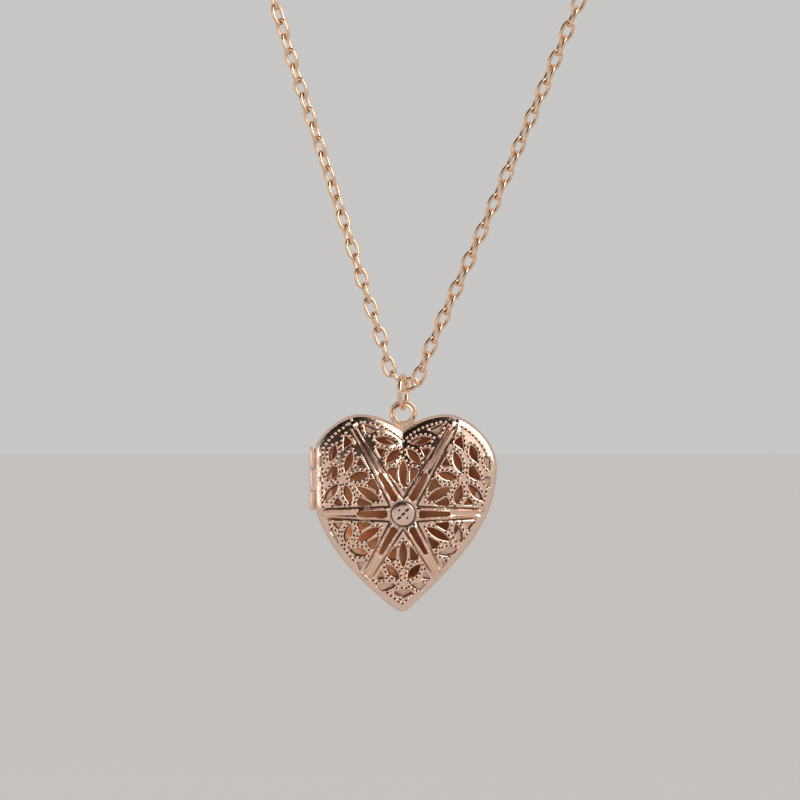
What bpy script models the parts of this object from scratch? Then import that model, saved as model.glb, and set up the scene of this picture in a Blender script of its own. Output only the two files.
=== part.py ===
"""A pierced heart locket on a fine cable chain, as an assembly of separate pieces.

Sizes are in millimetres and meshes are scaled by MM as they are made. The world has +Z up and
the locket's face towards -Y. The origin is the neck line that both ends of the chain hang from.
The plan of the locket is drawn in (x, z) about the boss at the middle of its face.
"""
import math

import bpy
import numpy as np
from mathutils import Vector
from mathutils.geometry import delaunay_2d_cdt

MM = 0.001

# How far the chain's lowest point hangs under the neck line.
VERTEX_DROP = 70.0

# Heart outline, from the boss. Each curve runs between two of these points. The left flank tapers
# more fully than the right one, and the tip leans a little to the left.
HEART_HALF_WIDTH = 13.15
LOBE_HEIGHT = 13.95
LOBE_X = 6.3
SIDE_Z = 6.6
CLEFT_Z = 11.6
TIP_X = -0.2
TIP_Z = -13.8
TIP_HALF_WIDTH = 0.75
TIP_SHOULDER = 0.3
CLEFT_HANDLE = (1.6, 1.4)
LOBE_HANDLE = 2.4
SHOULDER_HANDLE = 2.45
SIDE_HANDLE = 4.0
BELLY_HANDLE = 8.05
RIGHT_TAPER = (7.0, 6.6)
LEFT_TAPER = (8.1, 6.2)
CURVE_STEPS = (7, 8, 14)

# Shells: stamped sheet with a straight rim wall and a six-sided dome.
SHEET = 0.3
RIM_HEIGHT = 1.0
PEAK_HEIGHT = 3.3
FACET_DEPTH = 0.16
PARTING_GAP = 0.05
BACK_LIP = 0.2
RIM_BAND = 0.65
GRID_STEP = 1.25

# Six ribs with a channel between two ridges, and the boss that they meet at.
SECTORS = 6
RIB_HALF_OUTER = 0.48
RIB_HALF_INNER = 0.9
RIB_RISE = 0.2
RIB_START = 2.1
RIB_END = 12.5
RIB_LEAD_IN = 0.5
RIB_RUN_OUT = 0.04
SLOT_INNER = 2.7
SLOT_OUTER = 6.4
SLOT_HALF_INNER = 0.48
SLOT_HALF_OUTER = 0.23
BOSS_RADIUS = 1.6
BOSS_EDGE = 1.85
BOSS_RISE = 0.15

# Openings of one sector, as (distance out from the boss, sideways). A petal is two ends and a width.
# A fullness of 1 makes a petal a plain pointed oval, and less makes it blunter.
PETAL_FULLNESS = 0.72
STEM_PETAL = ((3.9, 0.0), (7.55, 0.0), 1.1)
FLOWER_PETAL = ((9.15, 0.6), (7.2, 2.4), 1.1)
WING_PETAL = ((10.1, 1.05), (10.7, 4.0), 1.05)
CROWN_PETAL = ((12.7, 1.3), (13.2, 3.6), 1.1)
TOP_PETAL = ((14.15, -1.25), (14.15, 1.25), 1.15)
STEM_LEAF = ((4.55, 0.98), (4.75, 1.25), (6.05, 2.2), (6.5, 1.95), (6.55, 0.98))
RIB_FILLER = ((8.0, 3.15), (9.35, 3.9), (9.2, 2.6))
CORNER_FILLER = ((11.25, 5.2), (12.85, 5.6), (11.95, 3.7))
BUD = ((10.75, 0.0), (11.4, 1.05), (12.15, 0.9), (12.15, -0.9), (11.4, -1.05))
TIP_CHEVRON = ((10.8, 0.0), (10.95, -1.2), (11.3, -1.3), (12.0, 0.0), (11.3, 1.3), (10.95, 1.2))

# Photo frames: flat heart rings seated inside the shells' walls.
FRAME_THICKNESS = 0.3
FRAME_SETBACK = 0.12
FRAME_CLEARANCE = 0.08
FRAME_WIDTH = 1.9

# Hinge on the left edge: three knuckles on one pin.
HINGE_INSET = 0.2
HINGE_X = HINGE_INSET - HEART_HALF_WIDTH
KNUCKLE_RADIUS = 0.45
PIN_RADIUS = 0.18
PIN_CLEARANCE = 0.05
PIN_HEAD_RADIUS = 0.33
PIN_HEAD = 0.2
HINGE_TOP = 9.3
HINGE_BOTTOM = 0.6
MIDDLE_KNUCKLE = (3.25, 6.4)
KNUCKLE_GAP = 0.08
WALL_CLEARANCE = 0.06

# Catch tongue inside the right edge. Its foot, between two depths, reaches the back shell's wall.
TONGUE_Z = 6.6
TONGUE_LENGTH = 2.0
TONGUE_THICKNESS = 0.25
TONGUE_REACH = 0.75
TONGUE_FOOT = (0.2, 0.6)
TONGUE_CLEARANCE = 0.08

# Bail: a flat ring with a tapering tab that is soldered into the cleft.
BAIL_Z = 14.25
BAIL_RADIUS = 1.95
BAIL_HOLE = 1.125
BAIL_THICKNESS = 0.8
BAIL_BEVEL = 0.12
BAIL_CLEARANCE = 0.06
TAB_TIP_Z = 11.75

# Jump ring between the bail and the chain.
JUMP_WIRE = 0.7
JUMP_RADIUS = 2.35
JUMP_TURN = math.radians(12.5)
HANG_CLEARANCE = 0.06
VERTEX_CLEARANCE = 1.5

# Cable chain.
LINK_WIRE = 0.54
LINK_LENGTH = 3.2
LINK_WIDTH = 2.05
LINK_CLEARANCE = 0.06
LINK_HOOK = LINK_WIRE + LINK_CLEARANCE
LEFT_LINK_ANGLE = math.radians(-50)
RIGHT_LINK_ANGLE = math.radians(18)
CORD_GAP = 0.2

# Centre lines of the two strands, chosen from the lowest point upwards: (x, height over it).
LEFT_ROUTE = ((-1.95, 2.45), (-3.16, 6.87), (-4.57, 11.06), (-7.7, 21.0), (-11.15, 31.9),
              (-14.56, 42.3), (-17.18, 50.8), (-19.2, 57.43))
RIGHT_ROUTE = ((2.2, 1.35), (3.93, 5.75), (5.7, 9.71), (7.54, 13.84), (11.6, 23.0),
               (15.75, 32.5), (19.92, 42.3), (23.34, 50.6), (25.97, 57.03))
ROUTE_STEP = 4.2

# Lobster clasp on the left strand, drawn about the middle of its oval, and the end rings.
CLASP_RING_RADIUS = 1.5
CLASP_RING_WIRE = 0.6
END_RING_RADIUS = 1.85
END_RING_WIRE = 0.7
CLASP_HALF_WIDTH = 2.4
CLASP_HALF_LENGTH = 3.3
CLASP_THICKNESS = 1.5
MOUTH_HALF_WIDTH = 1.45
MOUTH_HALF_LENGTH = 2.1
MOUTH_RISE = 0.35
EYE_RADIUS = 1.3
EYE_HOLE = 0.75
EYE_DROP = 4.15
GATE_LOW = -1.0
GATE_HIGH = 1.8
GATE_LEFT = 0.85
LEVER_TOP = 1.6
LEVER_PIVOT = (1.15, -1.75)
LEVER_HUB = 0.7
LEVER_THICKNESS = 0.6
LEVER_PIN = 0.26
LEVER_CLEARANCE = 0.06
LEVER_LOW = -1.6
THUMB = (2.5, -0.55)
THUMB_RADIUS = 0.55
SLOT_LEFT = -0.45
SLOT_BOTTOM = -2.65
SPRING_LEAF = 0.12
SPRING_WIDTH = 0.4

# Heights over the boss: where the bail hangs on the jump ring's wire, and the wire's top.
JUMP_LOW = BAIL_Z + BAIL_HOLE - HANG_CLEARANCE - JUMP_WIRE / 2
JUMP_TOP = JUMP_LOW + 2 * JUMP_RADIUS
VERTEX = np.array([0.0, 0.0, -VERTEX_DROP])
BOSS = VERTEX - (0, 0, JUMP_TOP - VERTEX_CLEARANCE)

GOLD = ("rose_gold", (0.82, 0.60, 0.47), 0.30)
WARM = ("warm_gold", (0.86, 0.62, 0.42), 0.26)
PINK = ("pink_gold_plate", (0.80, 0.58, 0.50), 0.38)
STEEL = ("spring_steel", (0.62, 0.60, 0.57), 0.30)


def clear_scene():
    for found in list(bpy.data.objects):
        bpy.data.objects.remove(found)


def metal(finish):
    name, colour, roughness = finish
    found = bpy.data.materials.get(name)
    if found:
        return found
    made = bpy.data.materials.new(name)
    made.use_nodes = True
    shader = made.node_tree.nodes["Principled BSDF"]
    shader.inputs["Base Color"].default_value = (*colour, 1)
    shader.inputs["Roughness"].default_value = roughness
    shader.inputs["Metallic"].default_value = 1.0
    return made


def pivot(name, at, parent=None):
    """An empty on a joint's axis, at a place in millimetres."""
    made = bpy.data.objects.new(name, None)
    bpy.context.scene.collection.objects.link(made)
    made.location = Vector(at) * MM
    if parent:
        made.parent = parent
        made.location -= world_place(parent)
    return made


def world_place(holder):
    place = Vector(holder.location)
    while holder.parent:
        holder = holder.parent
        place += holder.location
    return place


def piece(name, verts, faces, finish, holder, smooth_angle=35.0):
    """An object from a mesh in world millimetres, hung on a pivot."""
    start = world_place(holder)
    mesh = bpy.data.meshes.new(name)
    mesh.from_pydata([Vector(v) * MM - start for v in verts], [], faces)
    mesh.validate()
    mesh.shade_smooth()
    mesh.set_sharp_from_angle(angle=math.radians(smooth_angle))
    mesh.materials.append(metal(finish))
    made = bpy.data.objects.new(name, mesh)
    bpy.context.scene.collection.objects.link(made)
    made.parent = holder
    return made


# ---------------------------------------------------------------- plane outlines


def bezier(a, b, c, d, steps):
    """Points on a cubic curve from a up to, but not including, d."""
    t = np.arange(steps)[:, None] / steps
    a, b, c, d = map(np.array, (a, b, c, d))
    return (1 - t) ** 3 * a + 3 * (1 - t) ** 2 * t * b + 3 * (1 - t) * t**2 * c + t**3 * d


def half_heart(tip_x, taper):
    """The right half of a heart, from the cleft over the lobe and down to the tip's shoulder."""
    lobe = (LOBE_X, LOBE_HEIGHT)
    side = (HEART_HALF_WIDTH, SIDE_Z)
    shoulder = (tip_x + TIP_HALF_WIDTH, TIP_Z + TIP_SHOULDER)
    top = bezier(
        (0, CLEFT_Z),
        (CLEFT_HANDLE[0], CLEFT_Z + CLEFT_HANDLE[1]),
        (LOBE_X - LOBE_HANDLE, LOBE_HEIGHT),
        lobe,
        CURVE_STEPS[0],
    )
    flank = bezier(
        lobe,
        (LOBE_X + SHOULDER_HANDLE, LOBE_HEIGHT),
        (HEART_HALF_WIDTH, SIDE_Z + SIDE_HANDLE),
        side,
        CURVE_STEPS[1],
    )
    belly = bezier(
        side,
        (HEART_HALF_WIDTH, SIDE_Z - BELLY_HANDLE),
        (shoulder[0] + taper[0], shoulder[1] + taper[1]),
        shoulder,
        CURVE_STEPS[2],
    )
    return np.vstack([top, flank, belly, [shoulder]])


def heart():
    """The locket's outline, anticlockwise in (x, z), flattened where the hinge sits."""
    right = half_heart(TIP_X, RIGHT_TAPER)
    left = half_heart(-TIP_X, LEFT_TAPER) * (-1, 1)
    loop = np.vstack([right[:1], left[1:], [(TIP_X, TIP_Z)], right[:0:-1]])
    return hinge_flat(loop)


def hinge_flat(loop):
    """Flattens the loop's left edge along the hinge."""
    flat_x = HINGE_X + KNUCKLE_RADIUS + WALL_CLEARANCE
    flat = np.array(loop)
    flat[:, 0] = np.maximum(flat[:, 0], flat_x)
    step = np.linalg.norm(flat - np.roll(flat, 1, axis=0), axis=1)
    return flat[step > 0.02]


def edge_distance(points, loop):
    """The distance from each point to a closed loop's edges."""
    a, b = loop, np.roll(loop, -1, axis=0)
    along = b - a
    at = points[:, None, :] - a
    t = np.clip((at * along).sum(2) / (along**2).sum(1), 0, 1)
    return np.linalg.norm(at - t[..., None] * along, axis=2).min(1)


def inside(points, loop):
    """Which points lie inside a closed loop."""
    a, b = loop, np.roll(loop, -1, axis=0)
    x, y = points[:, None, 0], points[:, None, 1]
    spans = (a[:, 1] > y) != (b[:, 1] > y)
    rise = np.where(b[:, 1] == a[:, 1], 1, b[:, 1] - a[:, 1])
    crossing = a[:, 0] + (y - a[:, 1]) * (b[:, 0] - a[:, 0]) / rise
    return (spans & (x < crossing)).sum(1) % 2 == 1


def offset(loop, distance):
    """An anticlockwise loop moved outwards, or inwards where distance is negative."""
    ahead = np.roll(loop, -1, axis=0) - loop
    ahead /= np.linalg.norm(ahead, axis=1)[:, None]
    behind = np.roll(ahead, 1, axis=0)
    normal = np.stack([ahead[:, 1] + behind[:, 1], -ahead[:, 0] - behind[:, 0]], axis=1)
    normal /= np.linalg.norm(normal, axis=1)[:, None]
    stretch = 1 / np.maximum((normal * np.stack([ahead[:, 1], -ahead[:, 0]], 1)).sum(1), 0.6)
    moved = loop + normal * (distance * stretch)[:, None]
    kept = edge_distance(moved, loop) > abs(distance) * 0.985
    return moved[kept]


def circle(x, y, radius, steps, start=0.0):
    turn = start + np.arange(steps) * 2 * math.pi / steps
    return np.stack([x + radius * np.cos(turn), y + radius * np.sin(turn)], axis=1)


def ellipse(x, y, half_x, half_y, steps):
    return circle(0, 0, 1, steps) * (half_x, half_y) + (x, y)


def box(left, bottom, right, top):
    return np.array([(left, bottom), (right, bottom), (right, top), (left, top)])


def petal(start, end, width, steps=4):
    """A pointed oval from one point to another."""
    start, end = np.array(start), np.array(end)
    along = end - start
    across = np.array([-along[1], along[0]]) / np.linalg.norm(along)
    t = (1 - np.cos(math.pi * np.linspace(0, 1, steps + 1))) / 2
    bow = np.sin(math.pi * t) ** PETAL_FULLNESS * width / 2
    side = start + t[:, None] * along - bow[:, None] * across
    other = start + t[:, None] * along + bow[:, None] * across
    return np.vstack([side, other[-2:0:-1]])


def strip(points, width):
    """A band of even width along an open line of points."""
    points = np.array(points, float)
    along = np.gradient(points, axis=0)
    along /= np.linalg.norm(along, axis=1)[:, None]
    across = np.stack([along[:, 1], -along[:, 0]], axis=1) * width / 2
    return np.vstack([points + across, (points - across)[::-1]])


# ---------------------------------------------------------------- solids from outlines


def triangles(loops, points=()):
    """A constrained triangulation of loops and loose points: vertices and anticlockwise faces."""
    coords, edges = [], []
    for loop in loops:
        first = len(coords)
        coords += [Vector(p) for p in loop]
        edges += [(first + i, first + (i + 1) % len(loop)) for i in range(len(loop))]
    coords += [Vector(p) for p in points]
    verts, _, faces, *_ = delaunay_2d_cdt(coords, edges, [], 0, 1e-4)
    verts = np.array([tuple(v) for v in verts])
    faces = np.array([f for f in faces if len(f) == 3])
    a, b, c = (verts[faces[:, i]] for i in range(3))
    turn = (b[:, 0] - a[:, 0]) * (c[:, 1] - a[:, 1]) - (b[:, 1] - a[:, 1]) * (c[:, 0] - a[:, 0])
    faces[turn < 0] = faces[turn < 0][:, ::-1]
    return verts, faces[np.abs(turn) > 1e-7]


def rim_edges(faces):
    """The directed edges that only one face has."""
    edges = {(f[i], f[(i + 1) % 3]) for f in faces for i in range(3)}
    return [(a, b) for a, b in edges if (b, a) not in edges]


def plate(add, cut, low, high, lift):
    """A flat solid: the outlines in add less those in cut, between two levels.

    lift(p, q, level) gives the world place of a plane point. It keeps right-handed order.
    """
    verts, faces = triangles([*add, *cut])
    middle = verts[faces].mean(1)
    solid = np.zeros(len(faces), bool)
    for loop in add:
        solid |= inside(middle, loop)
    for loop in cut:
        solid &= ~inside(middle, loop)
    faces = faces[solid]
    used = np.unique(faces)
    new = {old: i for i, old in enumerate(used)}
    count = len(used)
    flat = verts[used]
    places = [lift(p, q, high) for p, q in flat] + [lift(p, q, low) for p, q in flat]
    tops = [tuple(new[v] for v in f) for f in faces]
    made = tops + [tuple(v + count for v in f[::-1]) for f in tops]
    for a, b in sorted(rim_edges(tops)):
        made += [(b, a, a + count), (b, a + count, b + count)]
    return places, made


def on_face(p, q, level):
    """Plane (x, z) about the boss, with the level measured towards the viewer."""
    return BOSS + (p, -level, q)


def upright(p, q, level):
    """Plane (x, y) about the boss, with the level measured upwards."""
    return BOSS + (p, q, level)


def turned(profile, x, y, steps):
    """A solid of revolution about a vertical axis. The profile is (radius, z), bottom to top."""
    verts = []
    for radius, z in profile:
        for px, py in circle(x, y, radius, steps):
            verts.append(BOSS + (px, py, z))
    faces = [tuple(range(steps - 1, -1, -1))]
    for row in range(len(profile) - 1):
        for i in range(steps):
            j = (i + 1) % steps
            low, high = row * steps, (row + 1) * steps
            faces.append((low + i, low + j, high + j, high + i))
    top = (len(profile) - 1) * steps
    faces.append(tuple(range(top, top + steps)))
    return verts, faces


def wire_loop(centre, along, across, half_length, half_width, wire, steps, sides):
    """A closed wire in the plane of two directions, with round ends of radius half_width."""
    straight = half_length - half_width
    along, across = np.array(along, float), np.array(across, float)
    normal = np.cross(along, across)
    verts, faces = [], []
    for i in range(steps):
        turn = 2 * math.pi * i / steps
        c, s = math.cos(turn), math.sin(turn)
        reach = half_width * c + straight * (1.5 * c - 0.5 * c**3)
        spot = centre + along * reach + across * half_width * s
        pull = half_width + straight * 1.5 * (1 - c**2)
        tangent = -along * pull * s + across * half_width * c
        outward = np.cross(tangent / np.linalg.norm(tangent), normal)
        for j in range(sides):
            a = 2 * math.pi * j / sides
            verts.append(spot + (outward * math.cos(a) + normal * math.sin(a)) * wire / 2)
            faces.append((
                i * sides + j,
                (i + 1) % steps * sides + j,
                (i + 1) % steps * sides + (j + 1) % sides,
                i * sides + (j + 1) % sides,
            ))
    return verts, faces


# ---------------------------------------------------------------- shells


class Dome:
    """The height of a shell's outer face over the parting plane."""

    def __init__(self, outline, ribbed):
        self.ribbed = ribbed
        turn = np.arctan2(outline[:, 1], outline[:, 0])
        order = np.argsort(turn)
        self.turn = turn[order]
        self.reach = np.linalg.norm(outline, axis=1)[order]

    def share(self, radius, turn):
        """How far out a point is: 0 at the boss, 1 at the outline."""
        return radius / np.interp(turn, self.turn, self.reach, period=2 * math.pi)

    def height(self, x, z):
        radius, turn = np.hypot(x, z), np.arctan2(z, x)
        out = self.share(radius, turn)
        sector = 2 * math.pi / SECTORS
        from_rib = (turn + sector / 2) % sector - sector / 2
        between = np.abs(from_rib) / (sector / 2)
        sunk = np.clip(out * (1 + FACET_DEPTH * between * (1 - out)), 0, 1)
        level = RIM_HEIGHT + (PEAK_HEIGHT - RIM_HEIGHT) * (1 - sunk**2)
        if not self.ribbed:
            return level
        across = np.abs(radius * np.sin(from_rib))
        ridge = ridge_rise(across / rib_half(radius))
        fade = np.clip((radius - RIB_START) / RIB_LEAD_IN, 0, 1)
        fade *= np.clip((1 - out) / RIB_RUN_OUT, 0, 1)
        boss = np.interp(radius, (0, BOSS_RADIUS, BOSS_EDGE), (BOSS_RISE, BOSS_RISE, 0))
        return level + RIB_RISE * ridge * fade + boss


def rib_half(radius):
    """Half the width of a rib at a distance from the boss."""
    return np.interp(radius, (RIB_START, RIB_END), (RIB_HALF_INNER, RIB_HALF_OUTER))


def ridge_rise(share):
    """The rise across a rib: a channel in the middle, a ridge on each side."""
    return np.interp(share, (0.4, 0.62, 0.8, 1.0), (0.0, 1.0, 1.0, 0.0))


def in_sector(points, number):
    """Sector points, (outwards, sideways), in the locket's plane."""
    axis = math.pi / 2 - number * 2 * math.pi / SECTORS
    points = np.array(points, float)
    out = np.array([math.cos(axis), math.sin(axis)])
    right = np.array([math.sin(axis), -math.cos(axis)])
    return points[:, :1] * out + points[:, 1:] * right


def both_sides(shape):
    """A shape on the right of a sector's axis, and its mirror image on the left."""
    shape = np.array(shape)
    return [shape, (shape * (1, -1))[::-1]]


def flower(number):
    """The openings of one sector: petals round a small flower, with fillers beside the ribs.

    A sector has only the outer openings that the heart leaves room for.
    """
    top, upper_right, lower_right, bottom, lower_left, upper_left = range(SECTORS)
    shapes = [petal(*STEM_PETAL, 7)]
    shapes += both_sides(STEM_LEAF)
    shapes += both_sides(petal(*FLOWER_PETAL, 5))
    shapes += both_sides(RIB_FILLER)
    right, left = both_sides(petal(*WING_PETAL, 6))
    if number != lower_right:
        shapes.append(right)
    if number != lower_left:
        shapes.append(left)
    right, left = both_sides(CORNER_FILLER)
    if number in (top, upper_left):
        shapes.append(right)
    if number in (top, upper_right):
        shapes.append(left)
    if number == bottom:
        shapes.append(np.array(TIP_CHEVRON))
    if number in (upper_right, upper_left):
        shapes.append(np.array(BUD))
        shapes += both_sides(petal(*CROWN_PETAL, 5))
        shapes.append(petal(*TOP_PETAL, 5))
    return shapes


def rib_slot(number):
    """The keyhole slot through the channel of one rib."""
    turn = number * 2 * math.pi / SECTORS
    bulb = circle(SLOT_INNER, 0, SLOT_HALF_INNER, 10)[3:8]
    tail = circle(SLOT_OUTER, 0, SLOT_HALF_OUTER, 8)[[6, 7, 0, 1, 2]]
    loop = np.vstack([tail, bulb])
    c, s = math.cos(turn), math.sin(turn)
    return loop @ np.array([(c, s), (-s, c)])


def openings():
    shapes = [in_sector(shape, k) for k in range(SECTORS) for shape in flower(k)]
    return shapes + [rib_slot(k) for k in range(SECTORS)]


def rib_points():
    """Points along each rib's edges, ridges and channel, so that its shape shows."""
    points = []
    for k in range(SECTORS):
        turn = k * 2 * math.pi / SECTORS
        for radius in np.arange(RIB_START + 0.4, RIB_END, 1.4):
            for share in (-1.0, -0.8, -0.62, 0.62, 0.8, 1.0):
                side = share * rib_half(radius)
                points.append((
                    radius * math.cos(turn) - side * math.sin(turn),
                    radius * math.sin(turn) + side * math.cos(turn),
                ))
    return points


def grid_points(step):
    """A staggered grid over the heart."""
    rows = np.arange(TIP_Z, LOBE_HEIGHT, step * 0.87)
    columns = np.arange(-HEART_HALF_WIDTH, HEART_HALF_WIDTH, step)
    return [(x + step / 2 * (i % 2), z) for i, z in enumerate(rows) for x in columns]


def shell(outline, dome, cuts, loose, front):
    """A domed shell with a straight rim wall, open towards the parting plane.

    cuts are the pierced shapes, which stop at the rim band.
    """
    wall = offset(outline, -SHEET)
    band = offset(outline, -RIM_BAND)
    loops = [outline, wall, band, *cuts]
    loose = np.array(loose)
    loose = loose[inside(loose, band)]
    spread = np.full(len(loose), np.inf)
    for loop in loops:
        spread = np.minimum(spread, edge_distance(loose, loop))
    in_cut = np.zeros(len(loose), bool)
    for loop in cuts:
        in_cut |= inside(loose, loop)
    loose = loose[(spread > 0.14) & ~in_cut]
    verts, faces = triangles(loops, loose)
    middle = verts[faces].mean(1)
    open_ = np.zeros(len(faces), bool)
    for loop in cuts:
        open_ |= inside(middle, loop)
    solid = inside(middle, outline) & ~(open_ & inside(middle, band))
    faces, middle = faces[solid], middle[solid]
    under = inside(middle, wall)

    level = dome.height(verts[:, 0], verts[:, 1])
    levels = {"out": level, "in": level - SHEET, "rim": np.full(len(verts), PARTING_GAP / 2)}
    places, number = [], {}

    def at(vertex, kind):
        if (vertex, kind) not in number:
            x, z = verts[vertex]
            number[vertex, kind] = len(places)
            places.append(on_face(x, z, levels[kind][vertex] * (1 if front else -1)))
        return number[vertex, kind]

    made = [tuple(at(v, "out") for v in f) for f in faces]
    made += [tuple(at(v, "in") for v in f[::-1]) for f in faces[under]]
    made += [tuple(at(v, "rim") for v in f[::-1]) for f in faces[~under]]
    wall_edges = set(rim_edges(faces[under]))
    for a, b in sorted(rim_edges(faces)):
        low = "in" if (a, b) in wall_edges else "rim"
        wall_edges.discard((a, b))
        top_a, top_b, low_a, low_b = at(a, "out"), at(b, "out"), at(a, low), at(b, low)
        made += [(top_b, top_a, low_a), (top_b, low_a, low_b)]
    for a, b in sorted(wall_edges):
        in_a, in_b, rim_a, rim_b = at(a, "in"), at(b, "in"), at(a, "rim"), at(b, "rim")
        made += [(in_a, in_b, rim_b), (in_a, rim_b, rim_a)]
    if not front:
        made = [f[::-1] for f in made]
    return places, made


def make_shells(outline, cover, case):
    front_points = grid_points(GRID_STEP) + rib_points()
    for radius in (0.9, BOSS_RADIUS, BOSS_EDGE):
        front_points += list(circle(0, 0, radius, 12))
    made = shell(outline, Dome(outline, True), openings(), front_points, True)
    piece("front_shell", *made, GOLD, cover)
    back = hinge_flat(offset(outline, BACK_LIP))
    made = shell(back, Dome(back, False), [], grid_points(2 * GRID_STEP), False)
    piece("back_shell", *made, GOLD, case)
    return back


def wall_reach(outline):
    """How far right a wall's inner face stands, at its nearest beside the catch tongue."""
    wall = offset(outline, -SHEET)
    right = wall[wall[:, 0] > HEART_HALF_WIDTH / 2]
    right = right[np.argsort(right[:, 1])]
    beside = TONGUE_Z + np.linspace(-0.5, 0.5, 9) * TONGUE_LENGTH
    return np.interp(beside, right[:, 1], right[:, 0]).min()


def make_frames(outline, cover, case):
    """The photo frames: flat heart rings with a window and a notch for the catch tongue."""
    edge = offset(outline, -(SHEET + FRAME_CLEARANCE))
    window = offset(edge, -FRAME_WIDTH)
    inner = wall_reach(outline) - TONGUE_THICKNESS - 3 * TONGUE_CLEARANCE
    reach = TONGUE_LENGTH / 2 + TONGUE_CLEARANCE
    notch = box(inner, TONGUE_Z - reach, HEART_HALF_WIDTH, TONGUE_Z + reach)
    low = PARTING_GAP / 2 + FRAME_SETBACK
    high = low + FRAME_THICKNESS
    made = plate([edge], [window, notch], low, high, on_face)
    piece("front_photo_frame", *made, PINK, cover)
    made = plate([edge], [window, notch], -high, -low, on_face)
    piece("back_photo_frame", *made, PINK, case)


# ---------------------------------------------------------------- hinge and catch


def knuckle(side):
    """The cross-section of a knuckle, with the corner that is soldered to its shell's wall."""
    barrel = circle(HINGE_X, 0, KNUCKLE_RADIUS, 16)
    corner = box(HINGE_X, 0, HINGE_X + KNUCKLE_RADIUS, side * KNUCKLE_RADIUS)
    hole = circle(HINGE_X, 0, PIN_RADIUS + PIN_CLEARANCE, 12)
    return [barrel, corner], [hole]


def make_hinge(cover, case):
    low, high = MIDDLE_KNUCKLE
    half = KNUCKLE_GAP / 2
    made = plate(*knuckle(-1), low + half, high - half, upright)
    piece("hinge_knuckle_middle", *made, GOLD, cover)
    made = plate(*knuckle(1), high + half, HINGE_TOP, upright)
    piece("hinge_knuckle_upper", *made, GOLD, case)
    made = plate(*knuckle(1), HINGE_BOTTOM, low - half, upright)
    piece("hinge_knuckle_lower", *made, GOLD, case)
    under, over = HINGE_BOTTOM - WALL_CLEARANCE, HINGE_TOP + WALL_CLEARANCE
    profile = [
        (PIN_HEAD_RADIUS * 0.7, under - PIN_HEAD),
        (PIN_HEAD_RADIUS, under - PIN_HEAD * 0.5),
        (PIN_HEAD_RADIUS, under),
        (PIN_RADIUS, under),
        (PIN_RADIUS, over),
        (PIN_HEAD_RADIUS, over),
        (PIN_HEAD_RADIUS, over + PIN_HEAD * 0.5),
        (PIN_HEAD_RADIUS * 0.7, over + PIN_HEAD),
    ]
    piece("hinge_pin", *turned(profile, HINGE_X, 0, 12), WARM, case)


def make_catch(outline, back, case):
    """A springy tongue on the back shell's wall that the cover's wall snaps over."""
    face = wall_reach(outline) - TONGUE_CLEARANCE
    foot = wall_reach(back) - WALL_CLEARANCE
    near, far = TONGUE_FOOT
    profile = np.array([
        (face - TONGUE_THICKNESS, -TONGUE_REACH),
        (face, -TONGUE_REACH),
        (face, near),
        (foot, near),
        (foot, far),
        (face, far),
        (face, TONGUE_REACH),
        (face - TONGUE_THICKNESS, TONGUE_REACH),
    ])
    low, high = TONGUE_Z - TONGUE_LENGTH / 2, TONGUE_Z + TONGUE_LENGTH / 2
    piece("catch_tongue", *plate([profile], [], low, high, upright), WARM, case)


# ---------------------------------------------------------------- bail, jump ring, chain


def bevelled(made, width):
    bevel = made.modifiers.new("edge", "BEVEL")
    bevel.width = width * MM
    bevel.segments = 1
    bevel.limit_method = "ANGLE"
    bevel.angle_limit = math.radians(50)


def make_bail(back, case):
    """The bail's ring and tab. The tab stops short of the back shell's cleft."""
    ring = circle(0, BAIL_Z, BAIL_RADIUS, 28)
    lean = math.acos(BAIL_RADIUS / (BAIL_Z - TAB_TIP_Z))
    touch = BAIL_RADIUS * math.sin(lean), BAIL_Z - BAIL_RADIUS * math.cos(lean)
    tab = np.array([(0, TAB_TIP_Z), touch, (0, BAIL_Z - BAIL_HOLE - 0.1), (-touch[0], touch[1])])
    hole = circle(0, BAIL_Z, BAIL_HOLE, 24)
    cleft = offset(back, BAIL_CLEARANCE)
    half = BAIL_THICKNESS / 2
    made = piece("bail", *plate([ring, tab], [hole, cleft], -half, half, on_face), WARM, case)
    bevelled(made, BAIL_BEVEL)


def make_jump_ring(holder):
    centre = BOSS + (0, 0, JUMP_LOW + JUMP_RADIUS)
    across = (math.sin(JUMP_TURN), math.cos(JUMP_TURN), 0)
    made = wire_loop(centre, (0, 0, 1), across, JUMP_RADIUS, JUMP_RADIUS, JUMP_WIRE, 36, 10)
    piece("jump_ring", *made, WARM, holder)


def link(centre, along, across):
    """One oval link of the chain."""
    half_length = (LINK_LENGTH - LINK_WIRE) / 2
    half_width = (LINK_WIDTH - LINK_WIRE) / 2
    return wire_loop(centre, along, across, half_length, half_width, LINK_WIRE, 22, 8)


def make_vertex_links(holder):
    """The two links that cross at the chain's lowest point, inside the jump ring."""
    half = (LINK_LENGTH - LINK_WIRE) / 2
    left = np.array([math.cos(LEFT_LINK_ANGLE), 0, math.sin(LEFT_LINK_ANGLE)])
    right = np.array([math.cos(RIGHT_LINK_ANGLE), 0, math.sin(RIGHT_LINK_ANGLE)])
    made = link(VERTEX - left * half, left, (0, 1, 0))
    piece("chain_link_left", *made, WARM, holder)
    made = link(VERTEX + right * (half - LINK_HOOK), right, np.cross(right, (0, 1, 0)))
    piece("chain_link_right", *made, WARM, holder)


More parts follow.
